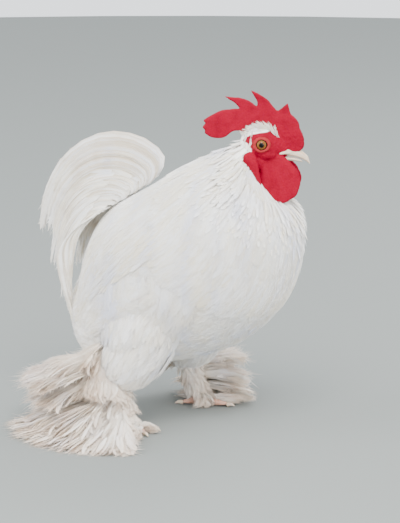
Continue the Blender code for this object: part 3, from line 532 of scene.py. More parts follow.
def settled(obj: bpy.types.Object, kind: str | None = None, **settings: object) -> bpy.types.Object:
    """Applies the modifiers of an object to its mesh.

    Args:
        obj: The object.
        kind: The type of one more modifier, added first.
        **settings: That modifier's properties.

    Returns:
        The same object, without modifiers.
    """
    if kind is not None:
        modifier = obj.modifiers.new(kind.lower(), kind)
        for name, value in settings.items():
            setattr(modifier, name, value)
    data = mesh_from(obj)
    obj.modifiers.clear()
    old, obj.data = obj.data, data
    bpy.data.meshes.remove(old)
    return obj


def tree_of(obj: bpy.types.Object) -> BVHTree:
    """A search tree of an object's surface."""
    mesh = obj.data
    return BVHTree.FromPolygons([v.co for v in mesh.vertices], [tuple(p.vertices) for p in mesh.polygons])


def spent_tree(obj: bpy.types.Object) -> BVHTree:
    """A search tree of a form that is needed for nothing else.

    Args:
        obj: The form, which is removed.

    Returns:
        The tree.
    """
    tree = tree_of(obj)
    remove(obj)
    return tree


def grid_faces(down: int, across: int) -> Array:
    """The faces of a sheet of down rows and across columns of points."""
    index = np.arange(across * down).reshape(down, across)
    return np.stack([index[:-1, :-1], index[:-1, 1:], index[1:, 1:], index[1:, :-1]], -1).reshape(-1, 4)


def paired(u: Array, v: Array) -> list[Array]:
    """Two arrays of numbers brought to one shape."""
    return np.broadcast_arrays(np.asarray(u, float), np.asarray(v, float))


def eased(table: Array, station: Array) -> Array:
    """Catmull-Rom values between the rows of a table.

    Args:
        table: The rows.
        station: Places between 0 and the table's last row.

    Returns:
        One row a station.
    """
    last = len(table) - 1
    low = np.clip(np.floor(station), 0, last - 1).astype(int)
    t = (np.clip(station, 0, last) - low)[..., None]
    a, b, c, d = (table[np.clip(low + k, 0, last)] for k in (-1, 0, 1, 2))
    return 0.5 * (2 * b + (c - a) * t + (2 * a - 5 * b + 4 * c - d) * t**2 + (3 * b - a - 3 * c + d) * t**3)


def smooth_step(value: Array, low: float, high: float) -> Array:
    """A smooth step from 0 at low to 1 at high."""
    t = np.clip((value - low) / (high - low), 0.0, 1.0)
    return t * t * (3 - 2 * t)


def unit(vectors: Array) -> Array:
    """Vectors scaled to length 1."""
    return vectors / np.maximum(np.linalg.norm(vectors, axis=-1, keepdims=True), 1e-12)


# The form of the plumage


@dataclass
class PlumageForm:
    """The smooth outer form of neck and body, by station from the nape to the rump."""

    origin: Array
    sections: Array = field(
        default_factory=lambda: np.array(
            [
                (53.0, 255.5, 72.0, 220.0, 15.5, 0.00),
                (39.5, 246.0, 84.0, 205.0, 26.0, 0.00),
                (21.0, 235.5, 95.0, 192.0, 40.0, 0.05),
                (1.0, 225.5, 100.5, 173.0, 54.0, 0.08),
                (-16.0, 215.0, 98.5, 148.0, 63.0, 0.08),
                (-33.0, 204.0, 88.0, 115.0, 67.0, 0.06),
                (-50.0, 194.0, 67.0, 88.0, 69.0, 0.04),
                (-66.0, 184.0, 38.0, 67.0, 67.0, 0.02),
                (-80.0, 168.0, 4.0, 55.0, 62.0, 0.02),
                (-90.0, 146.0, -34.0, 48.0, 55.0, 0.05),
                (-95.0, 120.0, -68.0, 45.0, 46.0, 0.08),
            ]
        )
    )
    rump_pole: tuple = (-98.0, 0.0, 76.0)

    @property
    def last(self) -> int:
        """The station of the last section."""
        return len(self.sections) - 1

    def point(self, station: Array, angle: Array, depth: Array | float = 0.0) -> Array:
        """Places on the form.

        Args:
            station: Stations, 0 at the nape and 11 at the rump's pole.
            angle: Angles from the back towards the left side.
            depth: How far under the form, in metres.

        Returns:
            Places in metres, one row each.
        """
        place = self._surface(station, angle)
        if np.any(depth):
            place = place - self.normal(station, angle) * np.asarray(depth)[..., None]
        return place

    def _surface(self, station: Array, angle: Array) -> Array:
        """Places on the form itself.

        Args:
            station: Stations from the nape to the rump's pole.
            angle: Angles from the back towards the left side.

        Returns:
            Places in metres, one row each.
        """
        station, angle = paired(station, angle)
        row = eased(self.sections, np.minimum(station, self.last)) * MM
        back = np.stack([row[..., 0], np.zeros_like(station), row[..., 1]], -1)
        breast = np.stack([row[..., 2], np.zeros_like(station), row[..., 3]], -1)
        centre, down, width, low = (back + breast) / 2, (breast - back) / 2, row[..., 4], row[..., 5] / MM
        past = np.clip(station - self.last, 0.0, 1.0)
        shrink = np.sqrt(np.maximum(0.0, 1 - past**2))
        centre = centre + (np.array(self.rump_pole) * MM - centre) * past[..., None]
        level = -np.cos(angle)
        place = centre + down * (level * shrink)[..., None]
        place[..., 1] += width * shrink * np.sin(angle) * (1 + low * level)
        return place + self.origin

    def normal(self, station: Array, angle: Array, step: float = 0.01) -> Array:
        """Outward directions on the form.

        Args:
            station: Stations from the nape to the rump's pole.
            angle: Angles from the back towards the left side.
            step: How far apart the compared places are.

        Returns:
            Directions of length 1, one row each.
        """
        base = np.minimum(station, self.last + 0.97)
        along = self._surface(base + step, angle) - self._surface(base - step, angle)
        around = self._surface(base, angle + step) - self._surface(base, angle - step)
        return unit(np.cross(around, along))

    def tree(self, stations: Array, angles: Array) -> BVHTree:
        """A search tree of the part of the form between some stations and angles."""
        places = self.point(*np.meshgrid(stations, angles))
        return BVHTree.FromPolygons(places.reshape(-1, 3).tolist(), grid_faces(*places.shape[:2]).tolist())

    def cape_edge(self, angle: Array) -> Array:
        """The station where the neck hackles end."""
        level = np.cos(angle)
        return 6.3 - np.where(level > 0, 2.4, 1.1) * level**2


@dataclass
class Carrier:
    """A smooth sheet that feathers are laid on.

    Feathers point along v. The sheet's mesh keeps its direction outward and its direction across.
    """

    name: str
    place: Rule
    u_range: tuple[float, float] = (-0.2, 1.2)
    v_range: tuple[float, float] = (0.0, 1.0)
    steps: tuple[int, int] = (96, 72)
    outward: float = 1.0

    def grids(self) -> tuple[Array, Array]:
        """The grid of u and v values."""
        ends = zip((self.u_range, self.v_range), self.steps)
        return np.meshgrid(*(np.linspace(*span, count) for span, count in ends))

    def slopes(self, u: Array, v: Array) -> tuple[Array, Array]:
        """Places gained for one unit of u and of v.

        Args:
            u: Values across the sheet.
            v: Values along the sheet.

        Returns:
            The gains by u and by v, one row each.
        """
        du, dv = 1e-3 * (self.u_range[1] - self.u_range[0]), 1e-3 * (self.v_range[1] - self.v_range[0])
        low_v, high_v = np.maximum(v - dv, self.v_range[0]), np.minimum(v + dv, self.v_range[1])
        by_u = (self.place(u + du, v) - self.place(u - du, v)) / (2 * du)
        by_v = (self.place(u, high_v) - self.place(u, low_v)) / (high_v - low_v)[..., None]
        return by_u, by_v

    def girth(self, u: Array, v: Array) -> Array:
        """Metres for one unit of u."""
        return np.maximum(np.linalg.norm(self.slopes(u, v)[0], axis=-1), 1e-4)

    def run(self, u: Array, v: Array) -> Array:
        """Metres for one unit of v."""
        return np.maximum(np.linalg.norm(self.slopes(u, v)[1], axis=-1), 1e-4)

    def smoothed(self, rounds: int) -> Array:
        """The places on the sheet's grid, each moved towards its neighbours some times.

        Args:
            rounds: How many times.

        Returns:
            The grid of places.
        """
        grid = self.place(*self.grids())
        for _ in range(rounds):
            grid[1:-1] += 0.25 * (grid[2:] + grid[:-2] - 2 * grid[1:-1])
            grid[:, 1:-1] += 0.25 * (grid[:, 2:] + grid[:, :-2] - 2 * grid[:, 1:-1])
        return grid

    def on_grid(self, grid: Array) -> "Carrier":
        """Makes the sheet read its places between the points of a grid.

        Args:
            grid: Places at the sheet's own u and v values.

        Returns:
            The sheet.
        """

        def spot(values: Array, ends: tuple[float, float], count: int) -> tuple[Array, Array]:
            """The row of the grid before each value, and the share of the way to the next."""
            found = np.clip((values - ends[0]) / (ends[1] - ends[0]) * (count - 1), 0, count - 1.001)
            return found.astype(int), (found - found.astype(int))[..., None]

        def place(u: Array, v: Array) -> Array:
            """Places on the grid by u and v.

            Args:
                u: Values across the sheet.
                v: Values along the sheet.

            Returns:
                Places, one row each.
            """
            u, v = paired(u, v)
            (i, s), (j, t) = spot(v, self.v_range, len(grid)), spot(u, self.u_range, grid.shape[1])
            upper = grid[i, j] * (1 - t) + grid[i, j + 1] * t
            lower = grid[i + 1, j] * (1 - t) + grid[i + 1, j + 1] * t
            return upper * (1 - s) + lower * s

        self.place = place
        return self

    def mesh(self) -> bpy.types.Object:
        """The sheet as a mesh with its u and v as a UV map.

        Returns:
            The mesh object.
        """
        u, v = self.grids()
        quads = grid_faces(*u.shape)
        sheet = add_mesh(f"carrier_{self.name}", self.place(u, v).reshape(-1, 3), quads)
        by_u, by_v = self.slopes(u, v)
        up = unit(np.cross(by_u, by_v)) * self.outward
        put_attribute(sheet.data, "up", "FLOAT_VECTOR", up.reshape(-1, 3))
        put_attribute(sheet.data, "side", "FLOAT_VECTOR", unit(by_u).reshape(-1, 3))
        put_uv(sheet.data, "lie", np.stack([u.ravel(), v.ravel()], -1), quads.ravel())
        return sheet


# Feathers


@dataclass(frozen=True)
class FeatherPattern:
    """One kind of feather: a thin arched vane, and loose barbs where it frays.

    The pattern is 1 wide and 1 long. Its thickness and arch are in metres.
    """

    kind: FeatherKind
    rows: int = 5
    root: float = 0.45
    widest: float = 0.55
    point: float = 2.2
    web: float = 1.0
    thickness: float = 0.35 * MM
    arch: float = 0.5 * MM
    slant: float = 0.10
    barbs: int = 0
    barb_span: tuple[float, float] = (0.4, 1.0)
    barb_reach: float = 0.5
    barb_slant: float = 0.16
    barb_base: float = 0.018
    barb_lift: float = 0.25 * MM
    ragged: float = 0.05
    variants: int = 3

    def half_width(self, t: Array | float) -> Array:
        """Half the vane's width.

        Args:
            t: Shares of the length, from root to tip.

        Returns:
            The widths, in widths of the pattern.
        """
        beyond = np.maximum(t - self.widest, 0) / (1 - self.widest)
        rising = self.root + (1 - self.root) * np.sin(0.5 * np.pi * np.minimum(t / self.widest, 1.0))
        return 0.5 * np.where(t < self.widest, rising, np.sqrt(np.maximum(0.0, 1 - beyond**self.point)))

    def build(self, variant: int) -> bpy.types.Object:
        """One variant as a mesh that keeps its own coordinates in the attribute local.

        Args:
            variant: The variant's number, which also starts its random draws.

        Returns:
            The mesh object.
        """
        draw = np.random.default_rng(100 * list(FeatherKind).index(self.kind) + variant)
        points: list = []
        faces: list = []
        for row in range(self.rows):
            t = row / self.rows
            half = self.half_width(t)
            left, right = (half * self.web * (1 + draw.uniform(-1, 1) * self.ragged) for _ in range(2))
            thick, sink = 0.5 * self.thickness * (1 - 0.6 * t), self.arch * (2 * half) ** 1.3
            points += [
                (-left, min(t + self.slant * 2 * left, 0.98), -sink),
                (0.0, t, thick),
                (right, min(t + self.slant * 2 * right, 0.98), -sink),
                (0.0, t, -thick),
            ]
        points.append((draw.uniform(-0.03, 0.03), 1.0, 0.0))
        last = 4 * (self.rows - 1)
        for a in range(0, last, 4):
            faces += [(a + k, a + (k + 1) % 4, a + (k + 1) % 4 + 4, a + k + 4) for k in range(4)]
        faces += [(last + k, last + (k + 1) % 4, last + 4) for k in range(4)]
        faces.append((3, 2, 1, 0))
        self._fray(draw, points, faces)
        obj = add_mesh(f"{self.kind.value}_{variant}", np.array(points, float), faces)
        reworked(obj.data)
        put_attribute(obj.data, "local", "FLOAT_VECTOR", np.array(points, float))
        return obj

    def _fray(self, draw: np.random.Generator, points: list, faces: list) -> None:
        """Adds the loose barbs: thin closed spikes from the shaft outwards.

        Args:
            draw: The variant's random draws.
            points: The vane's points, which grow.
            faces: The vane's faces, which grow.
        """
        for side, k in ((side, k) for side in (-1.0, 1.0) for k in range(self.barbs)):
            share = (k + draw.uniform(0.1, 0.9)) / self.barbs
            t = self.barb_span[0] + (self.barb_span[1] - self.barb_span[0]) * share
            reach = self.barb_reach * 2 * self.half_width(min(t, 0.86)) * draw.uniform(0.75, 1.15)
            start = side * 0.35 * self.web * self.half_width(min(t, 0.95))
            base = self.barb_base * draw.uniform(0.8, 1.4)
            lift = draw.uniform(-0.6, 1.0) * self.barb_lift
            tip = (side * reach, t + self.barb_slant * draw.uniform(0.7, 1.5), lift)
            a = len(points)
            points += [(start, t - base, -0.1 * MM), (start, t + base, -0.1 * MM), (start, t, 0.15 * MM), tip]
            faces += [(a, a + 1, a + 3), (a + 1, a + 2, a + 3), (a + 2, a, a + 3), (a, a + 2, a + 1)]


PATTERNS = (
    FeatherPattern(
        FeatherKind.HACKLE, rows=7, root=0.35, widest=0.5, point=1.6, web=0.97, thickness=0.14 * MM,
        arch=0.75 * MM, barbs=4, barb_span=(0.62, 0.95), barb_reach=0.55, barb_base=0.014,
        barb_lift=0.12 * MM,
    ),
    FeatherPattern(
        FeatherKind.CONTOUR, rows=6, root=0.45, widest=0.55, point=2.0, web=0.97, thickness=0.16 * MM,
        arch=0.65 * MM, ragged=0.08, barbs=4, barb_span=(0.62, 0.95), barb_reach=0.54, barb_lift=0.12 * MM,
    ),
    FeatherPattern(
        FeatherKind.PLUME, rows=5, root=0.45, widest=0.5, point=1.5, web=0.62, thickness=0.2 * MM,
        arch=0.4 * MM, barbs=9, barb_span=(0.2, 0.95), barb_reach=0.58, barb_slant=0.22, barb_lift=0.4 * MM,
    ),
    FeatherPattern(
        FeatherKind.SICKLE, rows=16, root=0.5, widest=0.5, point=1.35, web=0.97, thickness=0.22 * MM,
        arch=0.7 * MM, slant=0.03, barbs=8, barb_span=(0.66, 0.98), barb_reach=0.60, barb_slant=0.05,
        barb_base=0.005, barb_lift=0.4 * MM,
    ),
    FeatherPattern(
        FeatherKind.BOOT, rows=6, root=0.45, widest=0.6, point=1.5, web=0.5, thickness=0.25 * MM,
        arch=0.5 * MM, ragged=0.12, barbs=9, barb_span=(0.18, 0.97), barb_reach=0.72, barb_slant=0.15,
        barb_base=0.011, barb_lift=0.9 * MM,
    ),
)


class FeatherStore:
    """The feather patterns, each kind in a collection of its own, and the tree that lays them."""

    def __init__(self) -> None:
        """Builds every pattern and the laying tree."""
        self.collections: dict[FeatherKind, bpy.types.Collection] = {}
        self.patterns: dict[FeatherKind, FeatherPattern] = {}
        self.tops: dict[FeatherKind, float] = {}
        for pattern in PATTERNS:
            group = bpy.data.collections.new(f"patterns_{pattern.kind.value}")
            for variant in range(pattern.variants):
                obj = pattern.build(variant)
                bpy.context.scene.collection.objects.unlink(obj)
                group.objects.link(obj)
            self.collections[pattern.kind] = group
            self.patterns[pattern.kind] = pattern
            self.tops[pattern.kind] = max(float(places_of(obj)[:, 1].max()) for obj in group.objects)
        self.tree, self.keys = self._laying_tree()

    def _laying_tree(self) -> tuple[bpy.types.NodeTree, dict[str, str]]:
        """Builds the tree that lays feathers on a carrier.

        Returns:
            The tree and the identifiers of its inputs by name.
        """
        tree = bpy.data.node_groups.new("lay_feathers", "GeometryNodeTree")
        tree.is_modifier = True
        kinds = {
            "Roots": "NodeSocketGeometry",
            "Carrier": "NodeSocketObject",
            "Feathers": "NodeSocketCollection",
            "Finish": "NodeSocketMaterial",
            "Patch": "NodeSocketFloat",
        }
        ways = {name: {"in_out": "INPUT", "socket_type": kind} for name, kind in kinds.items()}
        keys = {name: tree.interface.new_socket(name, **way).identifier for name, way in ways.items()}
        tree.interface.new_socket("Coat", in_out="OUTPUT", socket_type="NodeSocketGeometry")
        graph = Graph(tree)
        given = graph.node("NodeGroupInput")
        inputs = {name: Term(graph, given.outputs[name]) for name in kinds}

        def named(name: str, kind: str = "FLOAT_VECTOR") -> Term:
            """A stored value by its name."""
            return graph.term("GeometryNodeInputNamedAttribute", {"data_type": kind}, {"Name": name})

        original = {"transform_space": "ORIGINAL"}
        sheet = graph.term("GeometryNodeObjectInfo", original, {"Object": inputs["Carrier"]}, "Geometry")
        lie = named("lie")

        def read(kind: str, value: Term, where: Term) -> Term:
            """A value of the carrier at a u and v."""
            sockets = {"Mesh": sheet, "Value": value, "Source UV Map": lie, "Sample UV": where}
            return graph.term("GeometryNodeSampleUVSurface", {"data_type": kind}, sockets, "Value")

        children = {"Collection": inputs["Feathers"], "Separate Children": True, "Reset Children": True}
        patterns = graph.term("GeometryNodeCollectionInfo", original, children)
        pick = {"Points": inputs["Roots"], "Instance": patterns, "Pick Instance": True}
        pick["Instance Index"] = named("kind", "INT")
        laid = graph.term("GeometryNodeInstanceOnPoints", None, pick)
        mesh = graph.term("GeometryNodeRealizeInstances", None, {"Geometry": laid})
        across, along, height = graph.parts(named("local"))
        root_u, root_v, lift = graph.parts(named("root"))
        width, length, drift = graph.parts(named("size"))
        tip_lift, roll, twist = graph.parts(named("bend"))
        middle = root_u + drift * along**1.6
        down = root_v + length * along
        where = graph.join(middle, down)
        spot = read("FLOAT_VECTOR", graph.term("GeometryNodeInputPosition"), where)
        side = read("FLOAT_VECTOR", named("side"), where)
        up = read("FLOAT_VECTOR", named("up"), where)
        rise = lift + tip_lift * along**1.5 + height + (roll * width + twist * along) * across
        flat = graph.vector("ADD", spot, graph.scaled(side, width * across))
        x, y, z = graph.parts(graph.vector("ADD", flat, graph.scaled(up, rise)))
        above = (z + (z * z + FLOOR_ROOM**2) ** 0.5) * 0.5
        place = {"Geometry": mesh, "Position": graph.join(x, y, above)}
        mesh = graph.term("GeometryNodeSetPosition", None, place)
        patch = graph.scaled(graph.join(across, along - 0.5), inputs["Patch"])
        maps = {"OFBake": graph.vector("ADD", named("bake"), patch), "vane": graph.join(across + 0.5, along)}
        corner = {"data_type": "FLOAT2", "domain": "CORNER"}
        for name, value in maps.items():
            stored = {"Geometry": mesh, "Name": name, "Value": value}
            mesh = graph.term("GeometryNodeStoreNamedAttribute", corner, stored)
        mesh = graph.term("GeometryNodeSetShadeSmooth", None, {"Geometry": mesh})
        bends = {0: graph.term("GeometryNodeInputMeshEdgeAngle"), 1: SHARP_EDGE}
        rim = graph.term("FunctionNodeCompare", {"operation": "GREATER_THAN"}, bends)
        sharp = {"Geometry": mesh, "Selection": rim, "Shade Smooth": False}
        mesh = graph.term("GeometryNodeSetShadeSmooth", {"domain": "EDGE"}, sharp)
        mesh = graph.term("GeometryNodeRealizeInstances", None, {"Geometry": mesh})
        mesh = graph.term("GeometryNodeSetMaterial", None, {"Geometry": mesh, "Material": inputs["Finish"]})
        graph.node("NodeGroupOutput", None, {"Coat": mesh})
        return tree, keys

    def clear(self) -> None:
        """Removes the patterns and the tree once every coat is laid."""
        for group in self.collections.values():
            for obj in list(group.objects):
                remove(obj)
            bpy.data.collections.remove(group)
        bpy.data.node_groups.remove(self.tree)


@dataclass(frozen=True)
class Rows:
    """Rows of one kind of feather on a carrier.

    Lengths are in millimetres. Spread gives the share of random change, and lift the height over the
    carrier at the root, what it gains at the tip, and its random part.
    """

    u: tuple[float, float]
    v: tuple[float, float]
    spacing: tuple[float, float]
    length: Rule | float
    width: Rule | float
    lift: tuple[float, float, float] = (0.0, 0.5, 0.4)
    drift: Rule | float = 0.0
    wander: float = 0.0
    spread: float = 0.12
    end: Callable[[Array], Array] | float = 10.0
    sink: Rule | float = 0.0
    seed: int = 1
    roll: float = 0.0
    tumble: float = 0.0
    where: Rule | None = None


def value_of(rule: object, u: Array, v: Array) -> Array:
    """A rule's values, or a number for every root."""
    return rule(u, v) if callable(rule) else np.full_like(u, float(rule))


def along(start: float, gain: float, low: float, high: float) -> Rule:
    """A rule that goes from start to start + gain while v goes from low to high."""
    return lambda u, v: start + gain * smooth_step(v, low, high)


class Coat:
    """A piece of plumage: rows of feathers on one carrier, made into one mesh."""

    def __init__(self, store: FeatherStore, carrier: Carrier, tile: tuple) -> None:
        """Takes the pattern store, the carrier and its tile (u, v, width, height) of the bake map."""
        self.store, self.carrier, self.tile = store, carrier, tile

    def roots(self, rows: Rows, variants: int, top: float) -> dict[str, Array]:
        """Where the feathers of some rows stand and how long, wide and raised they are.

        Args:
            rows: The rows' own sizes.
            variants: How many variants the pattern has.
            top: How far the pattern's barbs reach, in lengths.

        Returns:
            The values of each root by name.
        """
        draw = np.random.default_rng(rows.seed)
        found_u, found_v = [], []
        v, row = rows.v[0], 0
        middle = 0.5 * (rows.u[0] + rows.u[1])
        while v < rows.v[1]:
            girth = float(np.mean(self.carrier.girth(np.linspace(*rows.u, 9), np.full(9, v))))
            count = max(1, int(girth * (rows.u[1] - rows.u[0]) / (rows.spacing[0] * MM)))
            ranks = np.arange(count) + 0.5 * (row % 2) + draw.uniform(-0.35, 0.35, count)
            found_u.append(rows.u[0] + (rows.u[1] - rows.u[0]) * ranks / count)
            step = rows.spacing[1] * MM / float(self.carrier.run(np.array([middle]), np.array([v]))[0])
            found_v.append(v + step * draw.uniform(-0.4, 0.4, count))
            v, row = v + step, row + 1
        u = np.concatenate(found_u)
        v = np.clip(np.concatenate(found_v), self.carrier.v_range[0], self.carrier.v_range[1])
        many = len(u)
        length = value_of(rows.length, u, v) * MM * (1 + draw.uniform(-1, 1, many) * rows.spread)
        width = value_of(rows.width, u, v) * MM * (1 + draw.uniform(-1, 1, many) * rows.spread)
        reach = length / self.carrier.run(u, v)
        for _ in range(2):
            reach = length / self.carrier.run(u, np.clip(v + 0.5 * reach, *self.carrier.v_range))
        end = rows.end(u) if callable(rows.end) else np.full(many, float(rows.end))
        stop = np.minimum(end + draw.uniform(-0.5, 0.5, many) * 0.15 * reach, self.carrier.v_range[1] - 1e-3)
        reach = np.minimum(reach, np.minimum(stop - v, (self.carrier.v_range[1] - 1e-3 - v) / top))
        keep = reach * self.carrier.run(u, v) > 0.25 * length
        if rows.where is not None:
            keep &= rows.where(u, v)
        middle_v = v + 0.5 * np.maximum(reach, 0)
        drift = value_of(rows.drift, u, v) * MM + draw.normal(0, 1, many) * (rows.wander * MM)
        drift = drift / self.carrier.girth(u, middle_v)
        low_u, high_u = self.carrier.u_range
        drift = np.clip(drift, (low_u + 0.01 - u) / top**1.6, (high_u - 0.01 - u) / top**1.6)
        lift = rows.lift[0] * MM + draw.uniform(-1, 1, many) * (rows.lift[2] * MM)
        tip = rows.lift[1] * MM * draw.uniform(0.6, 1.4, many)
        sink = value_of(rows.sink, u, v) * MM
        roll = rows.roll * (1 + rows.tumble * draw.normal(0, 1, many))
        tile_u, tile_v = self.tile[0] + self.tile[2] * (u % 1.0), self.tile[1] + self.tile[3] * self._share(v)
        found = {
            "root": np.stack([u, v, lift - sink], -1),
            "size": np.stack([width, reach, drift], -1),
            "bend": np.stack([tip + sink, roll, draw.normal(0, 0.25, many) * MM], -1),
            "bake": np.stack([tile_u, tile_v, np.zeros(many)], -1),
            "tint": draw.uniform(0, 1, many),
            "kind": draw.integers(0, variants, many),
        }
        return {name: values[keep] for name, values in found.items()}

    def _share(self, v: Array) -> Array:
        """Where v lies between the carrier's ends, from 0 to 1."""
        low, high = self.carrier.v_range
        return (v - low) / (high - low)

    def lay(self, name: str, kind: FeatherKind, finish: bpy.types.Material, *rows: Rows) -> bpy.types.Object:
        """Lays rows of feathers and returns them as one plain mesh.

        Args:
            name: The piece's name.
            kind: The feathers' pattern.
            finish: Their material.
            rows: The rows to lay.

        Returns:
            The piece.
        """
        pattern = self.store.patterns[kind]
        sets = [self.roots(row, pattern.variants, self.store.tops[kind]) for row in rows]
        joined = {key: np.concatenate([found[key] for found in sets]) for key in sets[0]}
        seeds = add_mesh(name, joined["root"], [])
        for key, values in joined.items():
            put_attribute(seeds.data, key, {"tint": "FLOAT", "kind": "INT"}.get(key, "FLOAT_VECTOR"), values)
        sheet = self.carrier.mesh()
        keys = self.store.keys
        modifier = seeds.modifiers.new("lay", "NODES")
        modifier.node_group = self.store.tree
        modifier[keys["Carrier"]] = sheet
        modifier[keys["Feathers"]] = self.store.collections[kind]
        modifier[keys["Finish"]] = finish
        modifier[keys["Patch"]] = PATCH
        settled(seeds)
        for spare in ("root", "size", "bend", "bake", "kind", "local"):
            layer = seeds.data.attributes.get(spare)
            if layer is not None:
                seeds.data.attributes.remove(layer)
        dress(seeds, finish, smooth=False)
        remove(sheet)
        log.info("%s: %d feathers, %d faces", name, len(joined["tint"]), len(seeds.data.polygons))
        return seeds


def report(piece: bpy.types.Object, slot: str, *nodes: str) -> bpy.types.Object:
    """Rides a finished piece on the bird and hides the frame's nodes that it stands for.

    Args:
        piece: The piece.
        slot: Not used.
        *nodes: The frame's nodes that it replaces.

    Returns:
        The piece.
    """
    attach(piece, "root")
    if nodes:
        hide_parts(*nodes)
    log.info("finished %s", piece.name)
    return piece


# The bird's own places


@dataclass
class Bird:
    """Where the bird stands and how its head is turned, taken from the frame."""

    head_place: tuple = (63.6, 3.0, 245.6)
    head_turn: float = math.radians(17.0)
    eye_place: tuple = (0.0, 8.6, 0.0)
    eye_radius: float = 6.2 * MM

    def __post_init__(self) -> None:
        """Finds the shift between the bird's own places and the frame's."""
        low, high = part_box("eye_right")
        turn = Matrix.Rotation(self.head_turn, 3, "Z")
        eye = Vector(self.head_place) * MM + turn @ (Vector((0, -self.eye_place[1], 0)) * MM)
        shift = (low + high) / 2 - eye
        self.origin = np.array((shift.x, shift.y, 0.0))
        self.form = PlumageForm(self.origin)
        self.head = Matrix.Translation(Vector(self.origin) + Vector(self.head_place) * MM) @ turn.to_4x4()

    def on_head(self, places: Array) -> Array:
        """Places in the head's own frame, in metres, moved to the world."""
        return places @ np.array(self.head.to_3x3()).T + np.array(self.head.translation)

    def from_head(self, places: Array) -> Array:
        """World places seen from the head's own frame."""
        return (places - np.array(self.head.translation)) @ np.array(self.head.to_3x3())


@dataclass(frozen=True)
class LegShape:
    """The legs' lines, in millimetres, before the stride and the spread."""

    spread: float = 46.0
    stride: dict = field(default_factory=lambda: {"right": -15.0, "left": 17.0})
    hock: tuple = (-48.0, 50.0)
    ankle: tuple = (-26.0, 11.0)
    thigh: tuple = (
        (-12.0, 0.35, 128.0, 34.0, 0.1),
        (-15.0, 0.58, 109.0, 32.5, 0.2),
        (-18.0, 0.80, 90.0, 30.0, 0.3),
        (-23.0, 0.92, 70.0, 27.5, 0.5),
        (-29.0, 1.00, 55.0, 24.0, 0.8),
        (-38.0, 1.00, 43.0, 15.0, 1.0),
        (-43.0, 1.00, 37.0, 8.4, 1.0),
    )
    toes: dict = field(
        default_factory=lambda: {
            "inner": (-26.0, 24.0),
            "middle": (8.0, 31.0),
            "outer": (42.0, 26.0),
            "hind": (170.0, 15.0),
        }
    )
    toe_turn: dict = field(default_factory=lambda: {"right": 36.0, "left": 28.0})
    form_inset: float = 0.8

    def point(self, x: float, z: float, side: str, spread: float = 1.0, stride: float = 1.0) -> Array:
        """A place of a leg, in metres from the bird's origin."""
        return np.array((x + self.stride[side] * stride, SIDES[side] * self.spread * spread, z)) * MM

    def thigh_points(self, side: str) -> list[Array]:
        """The middle line of a thigh."""
        return [self.point(x, z, side, near, stride) for x, near, z, _, stride in self.thigh]

    def thigh_radii(self, inset: float) -> Array:
        """The thigh's radii in metres, so many millimetres under its feathers."""
        return np.array([(row[3] - inset) * MM for row in self.thigh])

    def pad(self, ankle: Array) -> Array:
        """The middle of the foot's pad, under the ankle."""
        return np.array((ankle[0] + 2 * MM, ankle[1], 5.2 * MM))

    def heading(self, side: str, out: Array | float, drop: Array | float = 0.0) -> Array:
        """A direction from the leg.

        Args:
            side: The leg's side.
            out: Degrees from straight ahead to the leg's outer side.
            drop: Degrees downwards.

        Returns:
            Directions of length 1, one row each.
        """
        turn, fall = paired(np.radians(out), np.radians(drop))
        across = SIDES[side] * np.sin(turn) * np.cos(fall)
        return np.stack([np.cos(turn) * np.cos(fall), across, -np.sin(fall)], -1)


LEGS = LegShape()


# Skin


def ring_faces(start: int, count: int) -> list[tuple[int, int, int, int]]:
    """The faces between a ring of points and the next, from the number of the ring's first point."""
    turns = [(start + k, start + (k + 1) % count) for k in range(count)]
    return [(a, b, b + count, a + count) for a, b in turns]


def closed_rings(name: str, rings: list[Array]) -> bpy.types.Object:
    """A closed body through rings of equal count, its ends closed by a middle point.

    Args:
        name: The object's name.
        rings: The places of each ring.

    Returns:
        The body.
    """
    count = len(rings[0])
    points = np.concatenate(rings + [rings[0].mean(0, keepdims=True), rings[-1].mean(0, keepdims=True)])
    faces = [face for row in range(len(rings) - 1) for face in ring_faces(row * count, count)]
    top, end = len(points) - 2, (len(rings) - 1) * count
    faces += [(top, (k + 1) % count, k) for k in range(count)]
    faces += [(top + 1, end + k, end + (k + 1) % count) for k in range(count)]
    obj = add_mesh(name, points, faces)
    reworked(obj.data)
    return obj


def limb(name: str, points: list[Array], radii: list[float] | Array, count: int = 24) -> bpy.types.Object:
    """A round limb along points, with domed ends.

    Args:
        name: The object's name.
        points: The middle line.
        radii: The radius at each of its points.
        count: How many points a ring has.

    Returns:
        The limb as a closed body.
    """
    line = [np.asarray(point, float) for point in points]
    rings = []
    angles = np.linspace(0, 2 * math.pi, count, endpoint=False)
    domes = [(0.45, 0.84), (0.8, 0.5)]
    for k, (point, radius) in enumerate(zip(line, radii)):
        ahead = unit(line[min(k + 1, len(line) - 1)] - line[max(k - 1, 0)])
        side = unit(np.cross(ahead, (0.13, 0.31, 0.94)))
        up = np.cross(side, ahead)
        ring = point + radius * (np.cos(angles)[:, None] * side + np.sin(angles)[:, None] * up)
        if k == 0:
            rings += [point + (ring - point) * wide - ahead * radius * out for out, wide in reversed(domes)]
        rings.append(ring)
        if k == len(line) - 1:
            rings += [point + (ring - point) * wide + ahead * radius * out for out, wide in domes]
    return closed_rings(name, rings)


def remeshed(name: str, pieces: list[bpy.types.Object], voxel: float) -> bpy.types.Object:
    """Joins closed pieces into one surface of even small faces.

    Args:
        name: The result's name.
        pieces: Closed objects, which are removed.
        voxel: The faces' size in metres.

    Returns:
        The joined object.
    """
    joined = bmesh.new()
    for piece in pieces:
        joined.from_mesh(piece.data)
        remove(piece)
    data = bpy.data.meshes.new(name)
    joined.to_mesh(data)
    joined.free()
    return settled(linked(name, data), "REMESH", mode="VOXEL", voxel_size=voxel)


